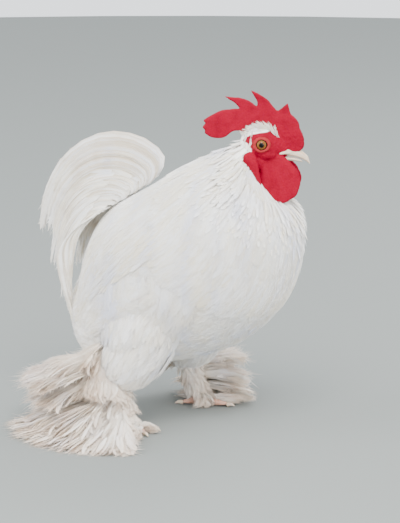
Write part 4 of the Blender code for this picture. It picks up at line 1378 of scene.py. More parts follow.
def relaxed(obj: bpy.types.Object, rounds: int) -> bpy.types.Object:
    """Smooths an object's surface."""
    return settled(obj, "SMOOTH", factor=0.5, iterations=rounds)


def copy_of(node: str) -> bpy.types.Object:
    """A plain copy of one of the frame's nodes, its doubled vertices merged."""
    return linked(f"copy_{node}", reworked(frame["nodes"][node].data.copy(), 0.001 * MM))


def vertex_rows(values: bpy.types.bpy_prop_collection, key: str) -> Array:
    """One row of three numbers for each vertex.

    Args:
        values: The vertices, or what the mesh keeps for each.
        key: The value's name.

    Returns:
        The rows.
    """
    flat = np.empty(3 * len(values))
    values.foreach_get(key, flat)
    return flat.reshape(-1, 3)


def places_of(obj: bpy.types.Object) -> Array:
    """The places of an object's vertices."""
    return vertex_rows(obj.data.vertices, "co")


def normals_of(obj: bpy.types.Object) -> Array:
    """The normals of an object's vertices."""
    return vertex_rows(obj.data.vertex_normals, "vector")


def move_to(obj: bpy.types.Object, places: Array) -> None:
    """Moves an object's vertices."""
    obj.data.vertices.foreach_set("co", np.ascontiguousarray(places, float).ravel())
    obj.data.update()


def ripple(places: Array, scale: float, seed: float = 0.0) -> Array:
    """Soft noise between about -1 and 1, with waves of about that many metres."""
    shift = Vector((seed, 0.7 * seed, 1.3 * seed))
    return np.array([noise.noise(Vector(place) / scale + shift) for place in places]) * 1.6


@dataclass(frozen=True)
class CombShape:
    """The single comb, in millimetres on the head: places of its outline, 1 where it has a corner."""

    outline: tuple = (
        (15.0, -2.0, 1),
        (22.0, -5.4, 0),
        (29.6, -6.2, 0),
        (34.2, -2.6, 0),
        (33.6, 5.4, 0),
        (30.6, 12.0, 0),
        (29.2, 18.0, 0),
        (23.0, 23.6, 1),
        (20.9, 31.6, 1),
        (17.0, 28.4, 0),
        (12.8, 26.2, 0),
        (8.4, 29.6, 0),
        (2.8, 36.4, 0),
        (-6.4, 41.6, 1),
        (-3.2, 35.8, 0),
        (-2.6, 29.4, 1),
        (-6.2, 30.2, 0),
        (-13.6, 35.6, 0),
        (-27.2, 37.6, 1),
        (-21.0, 33.6, 0),
        (-16.4, 27.4, 1),
        (-30.4, 26.6, 0),
        (-40.8, 22.6, 0),
        (-47.8, 18.2, 1),
        (-45.6, 16.8, 1),
        (-48.8, 12.8, 1),
        (-46.6, 10.6, 1),
        (-47.2, 8.4, 1),
        (-41.4, 5.2, 0),
        (-32.4, 5.4, 0),
        (-24.6, 10.8, 0),
        (-16.0, 10.8, 0),
        (-10.4, 7.2, 1),
        (10.0, 3.2, 1),
    )
    steps: int = 6
    half_thickness: float = 1.5 * MM
    edge: float = 1.15 * MM

    def places(self) -> list[tuple[float, float]]:
        """The outline, eased between its places and broken at its corners.

        Returns:
            Places in millimetres on the head.
        """
        spots = np.array([row[:2] for row in self.outline])
        count, found = len(spots), []
        for k in range(count):
            start, end = spots[k], spots[(k + 1) % count]
            before = start if self.outline[k][2] else spots[k - 1]
            beyond = end if self.outline[(k + 1) % count][2] else spots[(k + 2) % count]
            table = np.array([before, start, end, beyond])
            found += [tuple(eased(table, np.array(1 + step / self.steps))) for step in range(self.steps)]
        return found

    def make(self, bird: Bird) -> bpy.types.Object:
        """The comb as a closed body, thicker at its base than at its points.

        Args:
            bird: The bird whose head it stands on.

        Returns:
            The comb.
        """
        curve = bpy.data.curves.new("comb", "CURVE")
        curve.dimensions, curve.fill_mode = "2D", "BOTH"
        curve.extrude, curve.bevel_depth, curve.bevel_resolution = self.half_thickness, self.edge, 3
        spots = self.places()
        spline = curve.splines.new("POLY")
        spline.points.add(len(spots) - 1)
        for point, (x, z) in zip(spline.points, spots):
            point.co = (x * MM, z * MM, 0, 1)
        spline.use_cyclic_u = True
        guide = linked("comb_guide", curve)
        data = mesh_from(guide)
        remove(guide)
        comb = linked("comb", reworked(data, 0.01 * MM))
        x, z, y = places_of(comb).T
        y = y * (1.55 - 0.85 * smooth_step(z / MM, 6, 34))
        move_to(comb, bird.on_head(np.stack([x, -y, z], -1)))
        return comb


@dataclass
class Skin:
    """The one skin: bare folds on the head, and a plain body under the plumage."""

    bird: Bird
    body_depth: float = 6.0 * MM
    body_voxel: float = 2.2 * MM
    head_voxel: float = 0.6 * MM
    grow: float = 0.22 * MM
    face_top: tuple = (
        (-17, 2), (-13, 6.2), (-8, 8.4), (-2, 9.8), (3, 10.2), (7, 11.0), (9, 14.0), (13, 18.0), (24, 18.0),
    )
    face_back: tuple = (
        (-30, -13), (-16, -13), (-10, -9.0), (-4, -8.6), (1, -12), (3, -17.5), (5, -15), (9, -7),
    )

    def body(self) -> bpy.types.Object:
        """The neck, body, legs, feet and tail root.

        Returns:
            One even surface.
        """
        form, origin = self.bird.form, self.bird.origin
        angles = np.linspace(0, 2 * math.pi, 48, endpoint=False)
        front = smooth_step(-np.cos(angles), -0.7, -0.1)
        rings = []
        for station in np.concatenate([np.linspace(0.0, 10.0, 31), (10.3, 10.6, 10.8, 10.9)]):
            near_head = smooth_step(np.array(3.5 - station), 0.0, 2.0)
            depth = self.body_depth + (4.0 * front - 1.0) * MM * near_head
            depth -= 3.5 * MM * smooth_step(np.array(station), 9.6, 10.6)
            rings.append(form.point(np.full_like(angles, station), angles, depth))
        pieces = [closed_rings("core", rings)]
        for side in SIDES:
            thigh = [origin + point for point in LEGS.thigh_points(side)]
            ankle = origin + LEGS.point(*LEGS.ankle, side)
            pieces.append(limb("thigh", thigh, LEGS.thigh_radii(4.0)))
            shank = [thigh[-2] * (1 - t) + ankle * t for t in (0.1, 0.4, 0.7, 1.0)]
            pieces.append(limb("shank", shank, [6.5 * MM, 5.2 * MM, 4.8 * MM, 5.2 * MM]))
            pieces.extend(self.toes(side, ankle))
        root, end = np.array((-46, 0, 182)) * MM, np.array((-66, 0, 190)) * MM
        pieces.append(limb("tail_root", [origin + root, origin + end], [10 * MM, 7 * MM]))
        return relaxed(remeshed("body_skin", pieces, self.body_voxel), 4)

    def toes(self, side: str, ankle: Array) -> list[bpy.types.Object]:
        """The foot's pad and toes, with a knuckle at each joint.

        Args:
            side: The foot's side.
            ankle: The ankle's place.

        Returns:
            Closed bodies.
        """
        centre = LEGS.pad(ankle)
        pieces = [limb("pad", [centre, centre + np.array((2, 0, 0)) * MM], [5.2 * MM, 5.0 * MM])]
        shares, stops = np.linspace(0, 1, 9), (0, 0.45, 0.85, 1)
        heights = np.interp(shares, stops, (4.2, 3.6, 3.0, 2.3)) * MM
        swell = 0.32 * np.cos(shares * 2 * math.pi * 3)
        radii = (np.interp(shares, stops, (4.0, 3.4, 2.8, 2.1)) + swell) * MM
        radii = [min(radius, height - 0.1 * MM) for radius, height in zip(radii, heights)]
        for out, length in LEGS.toes.values():
            ahead = LEGS.heading(side, out + LEGS.toe_turn[side])
            line = [centre + ahead * (1.5 * MM + (length * MM - 1.5 * MM) * share) for share in shares]
            line = [np.array((p[0], p[1], z)) for p, z in zip(line, heights)]
            pieces.append(limb("toe", line, radii, 16))
        return pieces

    def head(self) -> bpy.types.Object:
        """The face, comb, wattles and lobes, fused and folded.

        Returns:
            One even surface.
        """
        pieces = [copy_of("head")]
        for node in [f"{part}_{side}" for part in ("wattle", "earlobe") for side in SIDES]:
            pieces.append(settled(copy_of(node), "SUBSURF", levels=2))
        for piece in pieces:
            move_to(piece, places_of(piece) + normals_of(piece) * self.grow)
        pieces.append(CombShape().make(self.bird))
        self.trees = {piece.name.removeprefix("copy_"): tree_of(piece) for piece in pieces}
        pieces += self.lids()
        jaw = self.bird.on_head(np.array([(-9.0, 0.0, -13.0), (0.0, 0.0, -16.0), (9.0, 0.0, -17.0)]) * MM)
        pieces.append(limb("jaw", list(jaw), [10.5 * MM, 10.0 * MM, 8.0 * MM]))
        head = relaxed(remeshed("head_skin", pieces, self.head_voxel), 5)
        places, normals = places_of(head), normals_of(head)
        local = self.bird.from_head(places) / MM
        move_to(head, places + normals * self.folds(local)[:, None] * MM)
        return head

    def lids(self) -> list[bpy.types.Object]:
        """The eyelids' rims: a ring round each eye, a little wider than high.

        Returns:
            Closed bodies.
        """
        made = []
        turns = np.linspace(0, 2 * math.pi, 41)
        for sign in SIDES.values():
            line = np.stack([6.1 * np.cos(turns), np.full_like(turns, sign * 12.3), 5.6 * np.sin(turns)], -1)
            made.append(limb("lid", list(self.bird.on_head(line * MM)), [0.95 * MM] * len(line), 12))
        return made

    def folds(self, local: Array) -> Array:
        """How far the bare skin is raised.

        Args:
            local: Places on the head, in millimetres.

        Returns:
            Heights in millimetres.
        """
        x, y, z = local.T
        from_eye = self.from_eye(x, z)
        side = smooth_step(np.abs(y), 7.0, 10.0)
        rings = np.cos((from_eye - 6.2) * 2 * math.pi / 1.7)
        lids = 0.30 * rings * side * smooth_step(from_eye, 5.2, 6.0) * (1 - smooth_step(from_eye, 7.6, 10.0))
        hanging, comb = smooth_step(-z, 14.0, 24.0), smooth_step(z, 10.0, 16.0)
        face = smooth_step(x, -16.0, -8.0) * (1 - hanging) * (1 - smooth_step(z, 10.0, 14.0))
        pleats = 0.55 * ripple(local * (1.0, 1.0, 0.35), 5.0, 3.0) * hanging
        creases = 0.22 * ripple(local, 1.9, 8.0) * face
        leafy = 0.30 * ripple(local * (1.0, 0.3, 1.0), 6.5, 5.0) * comb
        fine = 0.12 * ripple(local, 1.3, 1.0) * np.maximum(comb, hanging)
        return lids + pleats + creases + leafy + fine

    @staticmethod
    def from_eye(x: Array, z: Array) -> Array:
        """How far places are from the eye's middle, in millimetres, less along the lids."""
        return np.hypot(x / 1.12, z / 0.95)

    def bare_share(self, places: Array) -> Array:
        """How bare the head's skin is.

        Args:
            places: Places on the skin.

        Returns:
            One value a place: 1 on the face, the comb and the lobes.
        """
        x, _, z = (self.bird.from_head(places) / MM).T
        top = np.interp(x, *zip(*self.face_top))
        back = np.interp(z, *zip(*self.face_back))
        face = smooth_step(top - z, -0.4, 0.6) * smooth_step(x - back, -0.4, 0.8)
        far = {name: [tree.find_nearest(Vector(p))[3] for p in places] for name, tree in self.trees.items()}
        skull = np.array(far.pop("head"))
        hung = smooth_step(skull - np.array(list(far.values())).min(0), -0.0004, 0.0004)
        return np.clip(np.maximum(face, hung), 0, 1)

    def make(self, finish: bpy.types.Material) -> bpy.types.Object:
        """Builds the whole skin.

        Args:
            finish: The skin's material.

        Returns:
            The skin, with the attributes bare, lid and foot.
        """
        body, head = self.body(), self.head()
        settled(body, "BOOLEAN", operation="UNION", solver="MANIFOLD", object=head)
        head_tree = spent_tree(head)
        places = places_of(body)
        near = np.array([head_tree.find_nearest(Vector(p), 0.0004)[0] is not None for p in places])
        bare = np.zeros(len(places))
        bare[near] = self.bare_share(places[near])
        x, y, z = (self.bird.from_head(places) / MM).T
        throat = smooth_step(x, -14.0, -12.0) * smooth_step(-z, 7.0, 10.0)
        throat = throat * smooth_step(z - Plumage.bare_floor(x), -1.0, 1.0)
        shares = {
            "bare": np.maximum(bare, throat * (1 - smooth_step(np.abs(y), 13.0, 15.0))),
            "lid": 0.6 * (1 - smooth_step(self.from_eye(x, z), 6.5, 7.3)) * smooth_step(np.abs(y), 6.0, 8.0),
            "foot": smooth_step(0.030 - places[:, 2], -0.004, 0.010),
        }
        for name, values in shares.items():
            put_attribute(body.data, name, "FLOAT", values)
        body.name = "skin"
        log.info("skin: %d faces", len(body.data.polygons))
        return dress(body, finish)


# Eyes, beak and claws


@dataclass
class Eye:
    """An eyeball with a raised cornea and a map of its gaze."""

    bird: Bird
    rings: int = 40
    turns: int = 48
    bulge: float = 0.35 * MM
    cornea: float = 0.62

    def make(self, side: str, finish: bpy.types.Material) -> bpy.types.Object:
        """Builds one eye, which stands for the frame's.

        Args:
            side: The eye's side.
            finish: Its material.

        Returns:
            The eyeball.
        """
        sign, count = SIDES[side], self.turns
        turn = np.linspace(0, 2 * math.pi, count, endpoint=False)
        polar = np.linspace(0, 1, self.rings) * math.pi
        share = np.clip(polar / (math.pi / 2) / self.cornea, 0, 1)
        radius = self.bird.eye_radius - 0.1 * MM - self.bulge * smooth_step(share, 0.0, 1.0)
        points = [(0.0, sign * radius[0], 0.0)]
        for row in range(1, self.rings - 1):
            wide, high = radius[row] * math.sin(polar[row]), sign * radius[row] * math.cos(polar[row])
            points += [(wide * math.cos(a), high, wide * math.sin(a)) for a in turn]
        points.append((0.0, -sign * radius[-1], 0.0))
        spots, middle = np.array(points), np.array((0, sign * self.bird.eye_place[1] * MM, 0))
        a, last = 1 + (self.rings - 3) * count, len(points) - 1
        faces = [(0, 1 + k, 1 + (k + 1) % count) for k in range(count)]
        faces += [face for row in range(self.rings - 3) for face in ring_faces(1 + row * count, count)]
        faces += [(a + k, last, a + (k + 1) % count) for k in range(count)]
        obj = add_mesh(f"eyeball_{side}", self.bird.on_head(spots + middle), faces)
        reworked(obj.data)
        direction = unit(spots)
        away = np.arccos(np.clip(sign * direction[:, 1], -1, 1)) / (math.pi / 2)
        around = np.arctan2(direction[:, 2], direction[:, 0]) / (2 * math.pi) + 0.5
        corners = np.array([loop.vertex_index for loop in obj.data.loops])
        put_uv(obj.data, "gaze", np.stack([away, around], -1), corners)
        return dress(obj, finish)


@dataclass(frozen=True)
class HornShape:
    """A finer and softer surface for beak and claws, and the horn over the beak's root.

    The sheath's rings give, in millimetres on the head, how far ahead they stand, their height, how
    far they rise and half their width.
    """

    voxel: float = 0.35 * MM
    rounds: int = 5
    grow: float = 0.08
    beak_grow: dict = field(default_factory=lambda: {"beak_upper": 0.95, "beak_lower": 0.35})
    sheath: tuple = (
        (14.0, -8.4, 3.2, 7.0), (15.5, -8.6, 4.3, 7.8), (20.0, -8.2, 5.0, 6.6), (24.0, -8.4, 4.6, 4.6),
    )

    def make(self, node: str, finish: bpy.types.Material, bird: Bird) -> bpy.types.Object:
        """Builds the looks of one node.

        Args:
            node: The frame's node.
            finish: The horn's material.
            bird: The bird whose head the sheath stands on.

        Returns:
            The piece.
        """
        piece = copy_of(node)
        grow = self.beak_grow.get(node, self.grow)
        move_to(piece, places_of(piece) + normals_of(piece) * grow * MM)
        pieces = [piece]
        if node == "beak_upper":
            angles = np.linspace(0, 2 * math.pi, 32, endpoint=False)
            rings = []
            for x, middle, rise, half in self.sheath:
                z = middle + np.where(np.sin(angles) > 0, rise, 1.6) * np.sin(angles)
                rings.append(bird.on_head(np.stack([np.full_like(z, x), half * np.cos(angles), z], -1) * MM))
            pieces.append(closed_rings("sheath", rings))
        return dress(relaxed(remeshed(f"{node}_horn", pieces, self.voxel), self.rounds), finish)


# Carriers


def body_carrier(bird: Bird) -> Carrier:
    """The form of neck and body. u runs round it from the back over the left side."""

    def place(u: Array, v: Array) -> Array:
        """Places by turn and station."""
        return bird.form.point(np.clip(v, 0.0, 10.96), 2 * math.pi * u)

    return Carrier("body", place, (-0.25, 1.25), (0.0, 10.95), (150, 150))


def vent_carrier(bird: Bird) -> Carrier:
    """The body's rear end under the tail.

    Args:
        bird: The bird.

    Returns:
        The sheet. u runs across it towards the left, v down over it.
    """
    tree = bird.form.tree(np.linspace(6.0, 10.995, 140), np.linspace(0.0, 2 * math.pi, 97))
    pole = bird.origin + np.array(bird.form.rump_pole) * MM

    def cast(u: Array, v: Array) -> Array:
        """Places on the form, seen from behind.

        Args:
            u: Values across the sheet.
            v: Values down it.

        Returns:
            Places, one row each.
        """
        y, z = pole[1] + (u - 0.5) * 60 * MM, pole[2] + (30 - 58 * v) * MM
        places = np.stack([np.full_like(u, pole[0]), y, z], -1)
        for place in places.reshape(-1, 3):
            hit = tree.ray_cast(Vector((pole[0] - 0.1, place[1], place[2])), Vector((1, 0, 0)))[0]
            if hit is not None:
                place[0] = hit.x
        return places

    sheet = Carrier("vent", cast, (0.0, 1.0), (0.0, 1.0), (40, 40))
    return sheet.on_grid(sheet.smoothed(6))


@dataclass(frozen=True)
class TailShape:
    """The tail's arcs, in millimetres, from the top sickle's to the lowest covert's."""

    top: tuple = (
        (-52, 198), (-34, 209), (-31, 225), (-56, 237), (-88, 234), (-114, 214), (-129, 188), (-137, 160),
    )
    low: tuple = (
        (-72, 182), (-81, 175), (-89, 166), (-94, 154), (-97, 138), (-99, 122), (-100, 108), (-100, 98),
    )
    middle: tuple = (1.2, 3.0)
    layers: tuple = (15.2, 24.8)
    beyond: float = 90.0

    def carrier(self, bird: Bird, side: str) -> Carrier:
        """One side of the tail.

        Args:
            bird: The bird.
            side: The side.

        Returns:
            The sheet. u runs from the top sickle down, v from the roots to the tips.
        """
        top, low = np.array(self.top, float), np.array(self.low, float)
        sign = SIDES[side]

        def arc(u: Array, station: Array) -> Array:
            """Places in the tail's plane, between its two arcs."""
            return eased(top, station) * (1 - u[..., None]) + eased(low, station) * u[..., None]

        def place(u: Array, v: Array) -> Array:
            """Places by rank and share of the length.

            Args:
                u: Ranks, 0 at the top sickle and 1 at the lowest covert.
                v: Shares of the length.

            Returns:
                Places, one row each.
            """
            u, v = paired(u, v)
            t = np.clip(v, 0, 1)
            station = t * (len(top) - 1)
            back = unit(arc(u, station - 0.02) - arc(u, station))
            flat = arc(u, station) - back * ((v - t) * self.beyond)[..., None]
            rank = np.clip(u, -0.2, 1.3)
            near = self.middle[0] + self.layers[0] * np.maximum(rank, 0)
            far = self.middle[1] + self.layers[1] * np.maximum(rank, 0)
            out = (near + (far - near) * t**0.8) * smooth_step(rank, -0.25, 0.1) + 0.6
            out = out + 2.2 * (smooth_step(rank, 0.30, 0.36) + smooth_step(rank, 0.62, 0.68))
            return np.stack([flat[..., 0], sign * out, flat[..., 1]], -1) * MM + bird.origin

        return Carrier(f"tail_{side}", place, (-0.5, 1.5), (0.0, 1.12), (60, 120), outward=-sign)


@dataclass(frozen=True)
class WingShape:
    """The folded wing: an axis on the body's side, and the room it takes across it."""

    start: tuple = (2.0, 129.0)
    end: tuple = (-74.0, 80.0)
    sections: tuple = (
        (0.0, 7, -8), (0.1, 14, -15), (0.3, 19, -21), (0.52, 18, -21), (0.72, 12, -16), (0.86, 6, -9),
        (1.15, 2, -4),
    )
    bulge: float = 3.0

    def carrier(self, bird: Bird, side: str) -> Carrier:
        """One wing.

        Args:
            bird: The bird.
            side: The wing's side.

        Returns:
            The sheet. u runs across it from -1 at the lower edge to 1 at the upper, v along its axis.
        """
        sign = SIDES[side]
        tree = bird.form.tree(np.linspace(2.0, 10.9, 150), np.linspace(0.15, 3.0, 120) * sign)
        start, end = np.array(self.start), np.array(self.end)
        axis = (end - start) / np.linalg.norm(end - start)
        above = np.array((axis[1], -axis[0]))
        table = np.array(self.sections, float)

        def cast(u: Array, v: Array) -> Array:
            """Places over the body's side by share across and along.

            Args:
                u: Shares across the wing.
                v: Shares along its axis.

            Returns:
                Places, one row each.
            """
            high, low = (np.interp(v, table[:, 0], table[:, column]) for column in (1, 2))
            across = np.where(u > 0, u * high, -u * low)
            flat = start + (end - start) * v[..., None] + above * across[..., None]
            found = np.empty((u.size, 3))
            for k, (x, z) in enumerate(flat.reshape(-1, 2) * MM):
                probe = Vector((x + bird.origin[0], sign * 0.25 + bird.origin[1], z))
                spot = tree.ray_cast(probe, Vector((0, -sign, 0)))[0]
                if spot is None:
                    spot = tree.find_nearest(Vector((probe.x, bird.origin[1] + sign * 0.03, z)))[0]
                found[k] = spot
            rise = smooth_step(v, -0.1, 0.3) * (1 - smooth_step(v, 0.6, 1.2))
            found = found.reshape(*u.shape, 3)
            found[..., 1] += sign * ((1.0 + self.bulge) * np.clip(1 - u**2, 0, 1) * rise - 1.0) * MM
            return found

        sheet = Carrier(f"wing_{side}", cast, (-1.6, 1.6), (-0.1, 1.35), (40, 60), outward=-sign)
        return sheet.on_grid(sheet.smoothed(12))


@dataclass(frozen=True)
class FlankShape:
    """The sheet that joins the flank to the thigh, in millimetres.

    The spans give a height and half the sheet's length there. The lobe is a swell before the thigh:
    its middle ahead and up, half its length and height, and its tilt in degrees.
    """

    spans: tuple = ((138.0, 46.0), (112.0, 42.0), (90.0, 35.0), (70.0, 31.0), (55.0, 26.0), (46.0, 18.0))
    lobe: tuple = (-38.0, 86.0, 29.0, 13.0, 14.0)
    swell: float = 4.8

    def carrier(self, bird: Bird, side: str) -> Carrier:
        """One flank.

        Args:
            bird: The bird.
            side: The flank's side.

        Returns:
            The sheet. u runs from its front to its back, v from its top to the hock.
        """
        sign = SIDES[side]
        thigh = [bird.origin + point for point in LEGS.thigh_points(side)]
        leg = limb("leg_form", thigh, LEGS.thigh_radii(LEGS.form_inset), 40)
        body = bird.form.tree(np.linspace(2.0, 10.9, 120), np.linspace(0.15, 3.0, 100) * sign)
        trees = [body, spent_tree(leg)]
        rows = np.array([(row[2], row[0] + LEGS.stride[side] * row[4]) for row in reversed(LEGS.thigh)])
        heights, halves = (np.array(part) for part in zip(*reversed(self.spans)))

        def cast(u: Array, v: Array) -> Array:
            """Places on the outermost of body and thigh, and on the body's middle where there is none.

            Args:
                u: Shares of the length.
                v: Shares of the height.

            Returns:
                Places, one row each.
            """
            z = self.spans[0][0] + (self.spans[-1][0] - self.spans[0][0]) * v
            x = np.interp(z, rows[:, 0], rows[:, 1]) + np.interp(z, heights, halves) * (1 - 2 * u)
            y = np.full_like(x, bird.origin[1] + sign * 0.04)
            found = np.stack([x * MM + bird.origin[0], y, z * MM], -1)
            for spot in found.reshape(-1, 3):
                probe = Vector((spot[0], sign * 0.25 + bird.origin[1], spot[2]))
                for tree in trees:
                    hit = tree.ray_cast(probe, Vector((0, -sign, 0)))[0]
                    if hit is not None and sign * (hit.y - spot[1]) > 0:
                        spot[1] = hit.y
            return found

        sheet = Carrier(f"thigh_{side}_flank", cast, (-0.2, 1.2), (0.0, 1.15), (46, 46), outward=-sign)
        grid = sheet.smoothed(10)
        ahead, height, half_length, half_height, tilt = self.lobe
        turn = math.radians(tilt)
        dx, dz = grid[..., 0] - bird.origin[0] - ahead * MM, grid[..., 2] - height * MM
        along, across = dx * math.cos(turn) + dz * math.sin(turn), dz * math.cos(turn) - dx * math.sin(turn)
        far = (along / (half_length * MM)) ** 2 + (across / (half_height * MM)) ** 2
        grid[..., 1] += sign * (self.swell * np.sqrt(np.clip(1 - far, 0, 1)) + 0.6) * MM
        return sheet.on_grid(grid)


def limb_carrier(name: str, line: Array, radii: Array) -> Carrier:
    """The round form of a limb.

    Args:
        name: The carrier's name.
        line: The limb's middle line.
        radii: The radius at each of its points.

    Returns:
        The sheet. u runs round it, v along it from 0 to 1.
    """
    table = np.concatenate([line, radii[:, None]], 1)
    last = len(line) - 1

    def place(u: Array, v: Array) -> Array:
        """Places by turn and share of the length.

        Args:
            u: Turns round the limb.
            v: Shares of its length.

        Returns:
            Places, one row each.
        """
        u, v = paired(u, v)
        station = np.clip(v, 0, 1) * last
        row = eased(table, station)
        after, before = (eased(table, np.clip(station + step, 0, last))[..., :3] for step in (0.05, -0.05))
        ahead = unit(after - before)
        side = unit(np.cross(ahead, np.array((1.0, 0.0, 0.0))))
        front = np.cross(side, ahead)
        angle = 2 * math.pi * u
        spoke = np.cos(angle)[..., None] * front + np.sin(angle)[..., None] * side
        over = (v - np.clip(v, 0, 1))[..., None]
        return row[..., :3] + spoke * row[..., 3:4] + ahead * over * np.linalg.norm(line[-1] - line[0])

    return Carrier(name, place, (-0.3, 1.3), (0.0, 1.4), (60, 40))


@dataclass(frozen=True)
class Fan:
    """A fan of leg feathers, as a sheet that leaves a line of roots.

    The headings are in degrees from straight ahead to the leg's outer side, the drops in degrees
    downwards at root and tip, the roll in degrees out of the level.
    """

    headings: tuple[float, float]
    length: float
    drops: tuple[float, float]
    width: float = 8.0
    roll: float = 20.0
    count: int = 24
    floor: float = 1.2

    def carrier(self, name: str, side: str, line: tuple[Array, Array]) -> Carrier:
        """The fan's sheet.

        Args:
            name: The sheet's name.
            side: The leg's side.
            line: The first and the last root.

        Returns:
            The sheet. u runs over the headings, v from the roots to the tips.
        """

        def place(u: Array, v: Array) -> Array:
            """Places by share of the headings and of the length.

            Args:
                u: Shares of the headings.
                v: Shares of the length.

            Returns:
                Places, one row each.
            """
            u, v = paired(u, v)
            out = self.headings[0] + (self.headings[1] - self.headings[0]) * u
            start, end = LEGS.heading(side, out, self.drops[0]), LEGS.heading(side, out, self.drops[1])
            share = v[..., None]
            root = line[0] + (line[1] - line[0]) * np.clip(u, -0.1, 1.1)[..., None]
            spot = root + (start * (share - share**2 / 2) + end * share**2 / 2) * self.length * MM
            low = self.floor * MM
            z = (spot[..., 2] - low) / (1.5 * MM)
            spot[..., 2] = low + 1.5 * MM * np.logaddexp(0.0, z)
            return spot

        turn = SIDES[side] * np.sign(self.headings[1] - self.headings[0])
        return Carrier(name, place, (-0.35, 1.35), (0.0, 1.25), (40, 40), outward=float(turn))


# Plumage


@dataclass
class Plumage:
    """Every coat of feathers. The lobes' edge is given as heights and how far back it lies there."""

    bird: Bird
    store: FeatherStore
    finish: dict
    lobe_edge: tuple = (
        (-60, 40), (-52, 32), (-50, 7), (-45.5, 1.6), (-38.7, -0.6), (-34.8, -8.7), (-29.5, -12.4),
        (-12, -15.4), (-5, -15),
    )

    def lay(self, name: str, carrier: Carrier, kind: FeatherKind, finish: str, *rows: Rows) -> None:
        """Lays one coat and reports it.

        Args:
            name: The piece's name.
            carrier: The sheet under it.
            kind: The feathers' pattern.
            finish: The finish's key.
            *rows: The rows to lay.
        """
        tile = TILES[carrier.name.split("_")[0]]
        coat = Coat(self.store, carrier, tile).lay(name, kind, self.finish[finish], *rows)
        report(coat, "plumage")

    def clear_of_lobes(
        self, carrier: Carrier, reach: float, margin: float, drop: float = 0.0, outer: float = 99.0
    ) -> Rule:
        """A rule that keeps feathers off the bare skin between the lobes and the wattles.

        Args:
            carrier: The sheet that the feathers lie on.
            reach: How far along v the feathers are looked at.
            margin: The room behind the lobes' edge, in millimetres.
            drop: How much further down the room goes under the wattles, in millimetres.
            outer: How far from the middle the room ends, in millimetres.

        Returns:
            The rule, true where a root may stand.
        """
        edge_z, edge_x = (np.array(row, float) for row in zip(*self.lobe_edge))

        def allowed(u: Array, v: Array) -> Array:
            """Whether the first part of each feather stays behind and under the lobes.

            Args:
                u: The roots' u.
                v: The roots' v.

            Returns:
                One answer a root.
            """
            good = np.ones(len(u), bool)
            for step in np.linspace(0, reach, 5):
                x, y, z = (self.bird.from_head(carrier.place(u, np.minimum(v + step, BODY_END))) / MM).T
                floor = self.bare_floor(x) - drop * smooth_step(x, 2.0, 12.0)
                inside = (x > np.interp(z, edge_z, edge_x) - margin) & (z > floor) & (z < 2) & (x < 37)
                good &= ~(inside & (np.abs(y) > 2) & (np.abs(y) < outer))
            return good

        return allowed

    @staticmethod
    def bare_floor(x: Array) -> Array:
        """The height under which the throat is feathered, in millimetres on the head."""
        return np.interp(x, (-15.0, -12.0, -7.0, 0.0, 6.0, 12.0), (-10.0, -18.0, -27.0, -35.0, -40.0, -42.0))

    def neck(self) -> None:
        """The neck's hackles, long and narrow, from behind the head to the cape's edge."""
        carrier = body_carrier(self.bird)

        def edge(u: Array) -> Array:
            """Where the hackles end."""
            return self.bird.form.cape_edge(2 * math.pi * u) + 0.1

        def sink(u: Array, v: Array) -> Array:
            """Deep roots at the nape, beside the lobes and under the chin."""
            front, nape = smooth_step(-np.cos(2 * math.pi * u), -0.7, -0.1), 1 - smooth_step(v, 0.1, 1.8)
            return 0.9 + 3.8 * front * (1 - smooth_step(v, 0.8, 4.4)) + 4.5 * ((1 - front) * nape)

        size = {"length": along(20, 42, 0.2, 2.6), "width": along(3.6, 4.4, 0.3, 3.0)}
        for side, span in (("right", (0.5, 1.0)), ("left", (0.0, 0.5))):
            cape = Rows(
                span, (0.02, 5.6), (3.8, 8.5), **size, lift=(0.0, 0.3, 0.55), wander=1.3,
                spread=0.18, end=edge, sink=sink, seed=11, where=self.clear_of_lobes(carrier, 0.5, 0.8, 11.0),
            )
            self.lay(f"hackles_{side}", carrier, FeatherKind.HACKLE, "hackle", cape)
        clear = self.clear_of_lobes(carrier, 0.15, 0.0)
        under = Rows(
            (0.14, 0.86), (0.02, 2.2), (2.8, 3.0), 11, 3.4, (-8.1, 0.5, 0.15),
            wander=0.6, seed=14, where=self.clear_of_lobes(carrier, 0.15, 0.0, outer=14.5),
        )
        deep = Rows(
            (0.14, 0.86), (0.02, 3.0), (3.2, 3.4), 14, 3.4, (-6.6, 1.6, 0.3), wander=0.7, seed=12, where=clear
        )
        over = Rows(
            (0.14, 0.86), (0.3, 3.0), (3.1, 3.8), 24, 3.8, (-5.8, 5.0, 0.4), wander=0.9, seed=13, where=clear
        )
        self.lay("throat_feathers", carrier, FeatherKind.HACKLE, "hackle", under, deep, over)

    def body(self) -> None:
        """The feathers of breast, flanks, belly and back, which lie tight."""
        rows = Rows(
            (0.0, 1.0), (3.3, 10.2), (6.0, 7.0), along(30, 8, 5.0, 9.0), 12.5, (-0.2, 0.2, 0.18),
            wander=0.8, end=BODY_END, sink=1.2, seed=21,
        )
        self.lay("body_feathers", body_carrier(self.bird), FeatherKind.CONTOUR, "body", rows)

    def saddle(self) -> None:
        """The long narrow feathers that fall from the back over the flanks and the tail's root."""
        for side, sign in SIDES.items():
            rows = Rows(
                (0.0, 0.19) if sign > 0 else (0.81, 1.0), (4.2, 8.6), (3.2, 6.5), 52, 5.5, (0.4, 0.5, 0.3),
                drift=sign * 8.0, wander=1.2, spread=0.15, end=10.6, sink=0.7, seed=31,
            )
            self.lay(f"saddle_{side}", body_carrier(self.bird), FeatherKind.HACKLE, "saddle", rows)

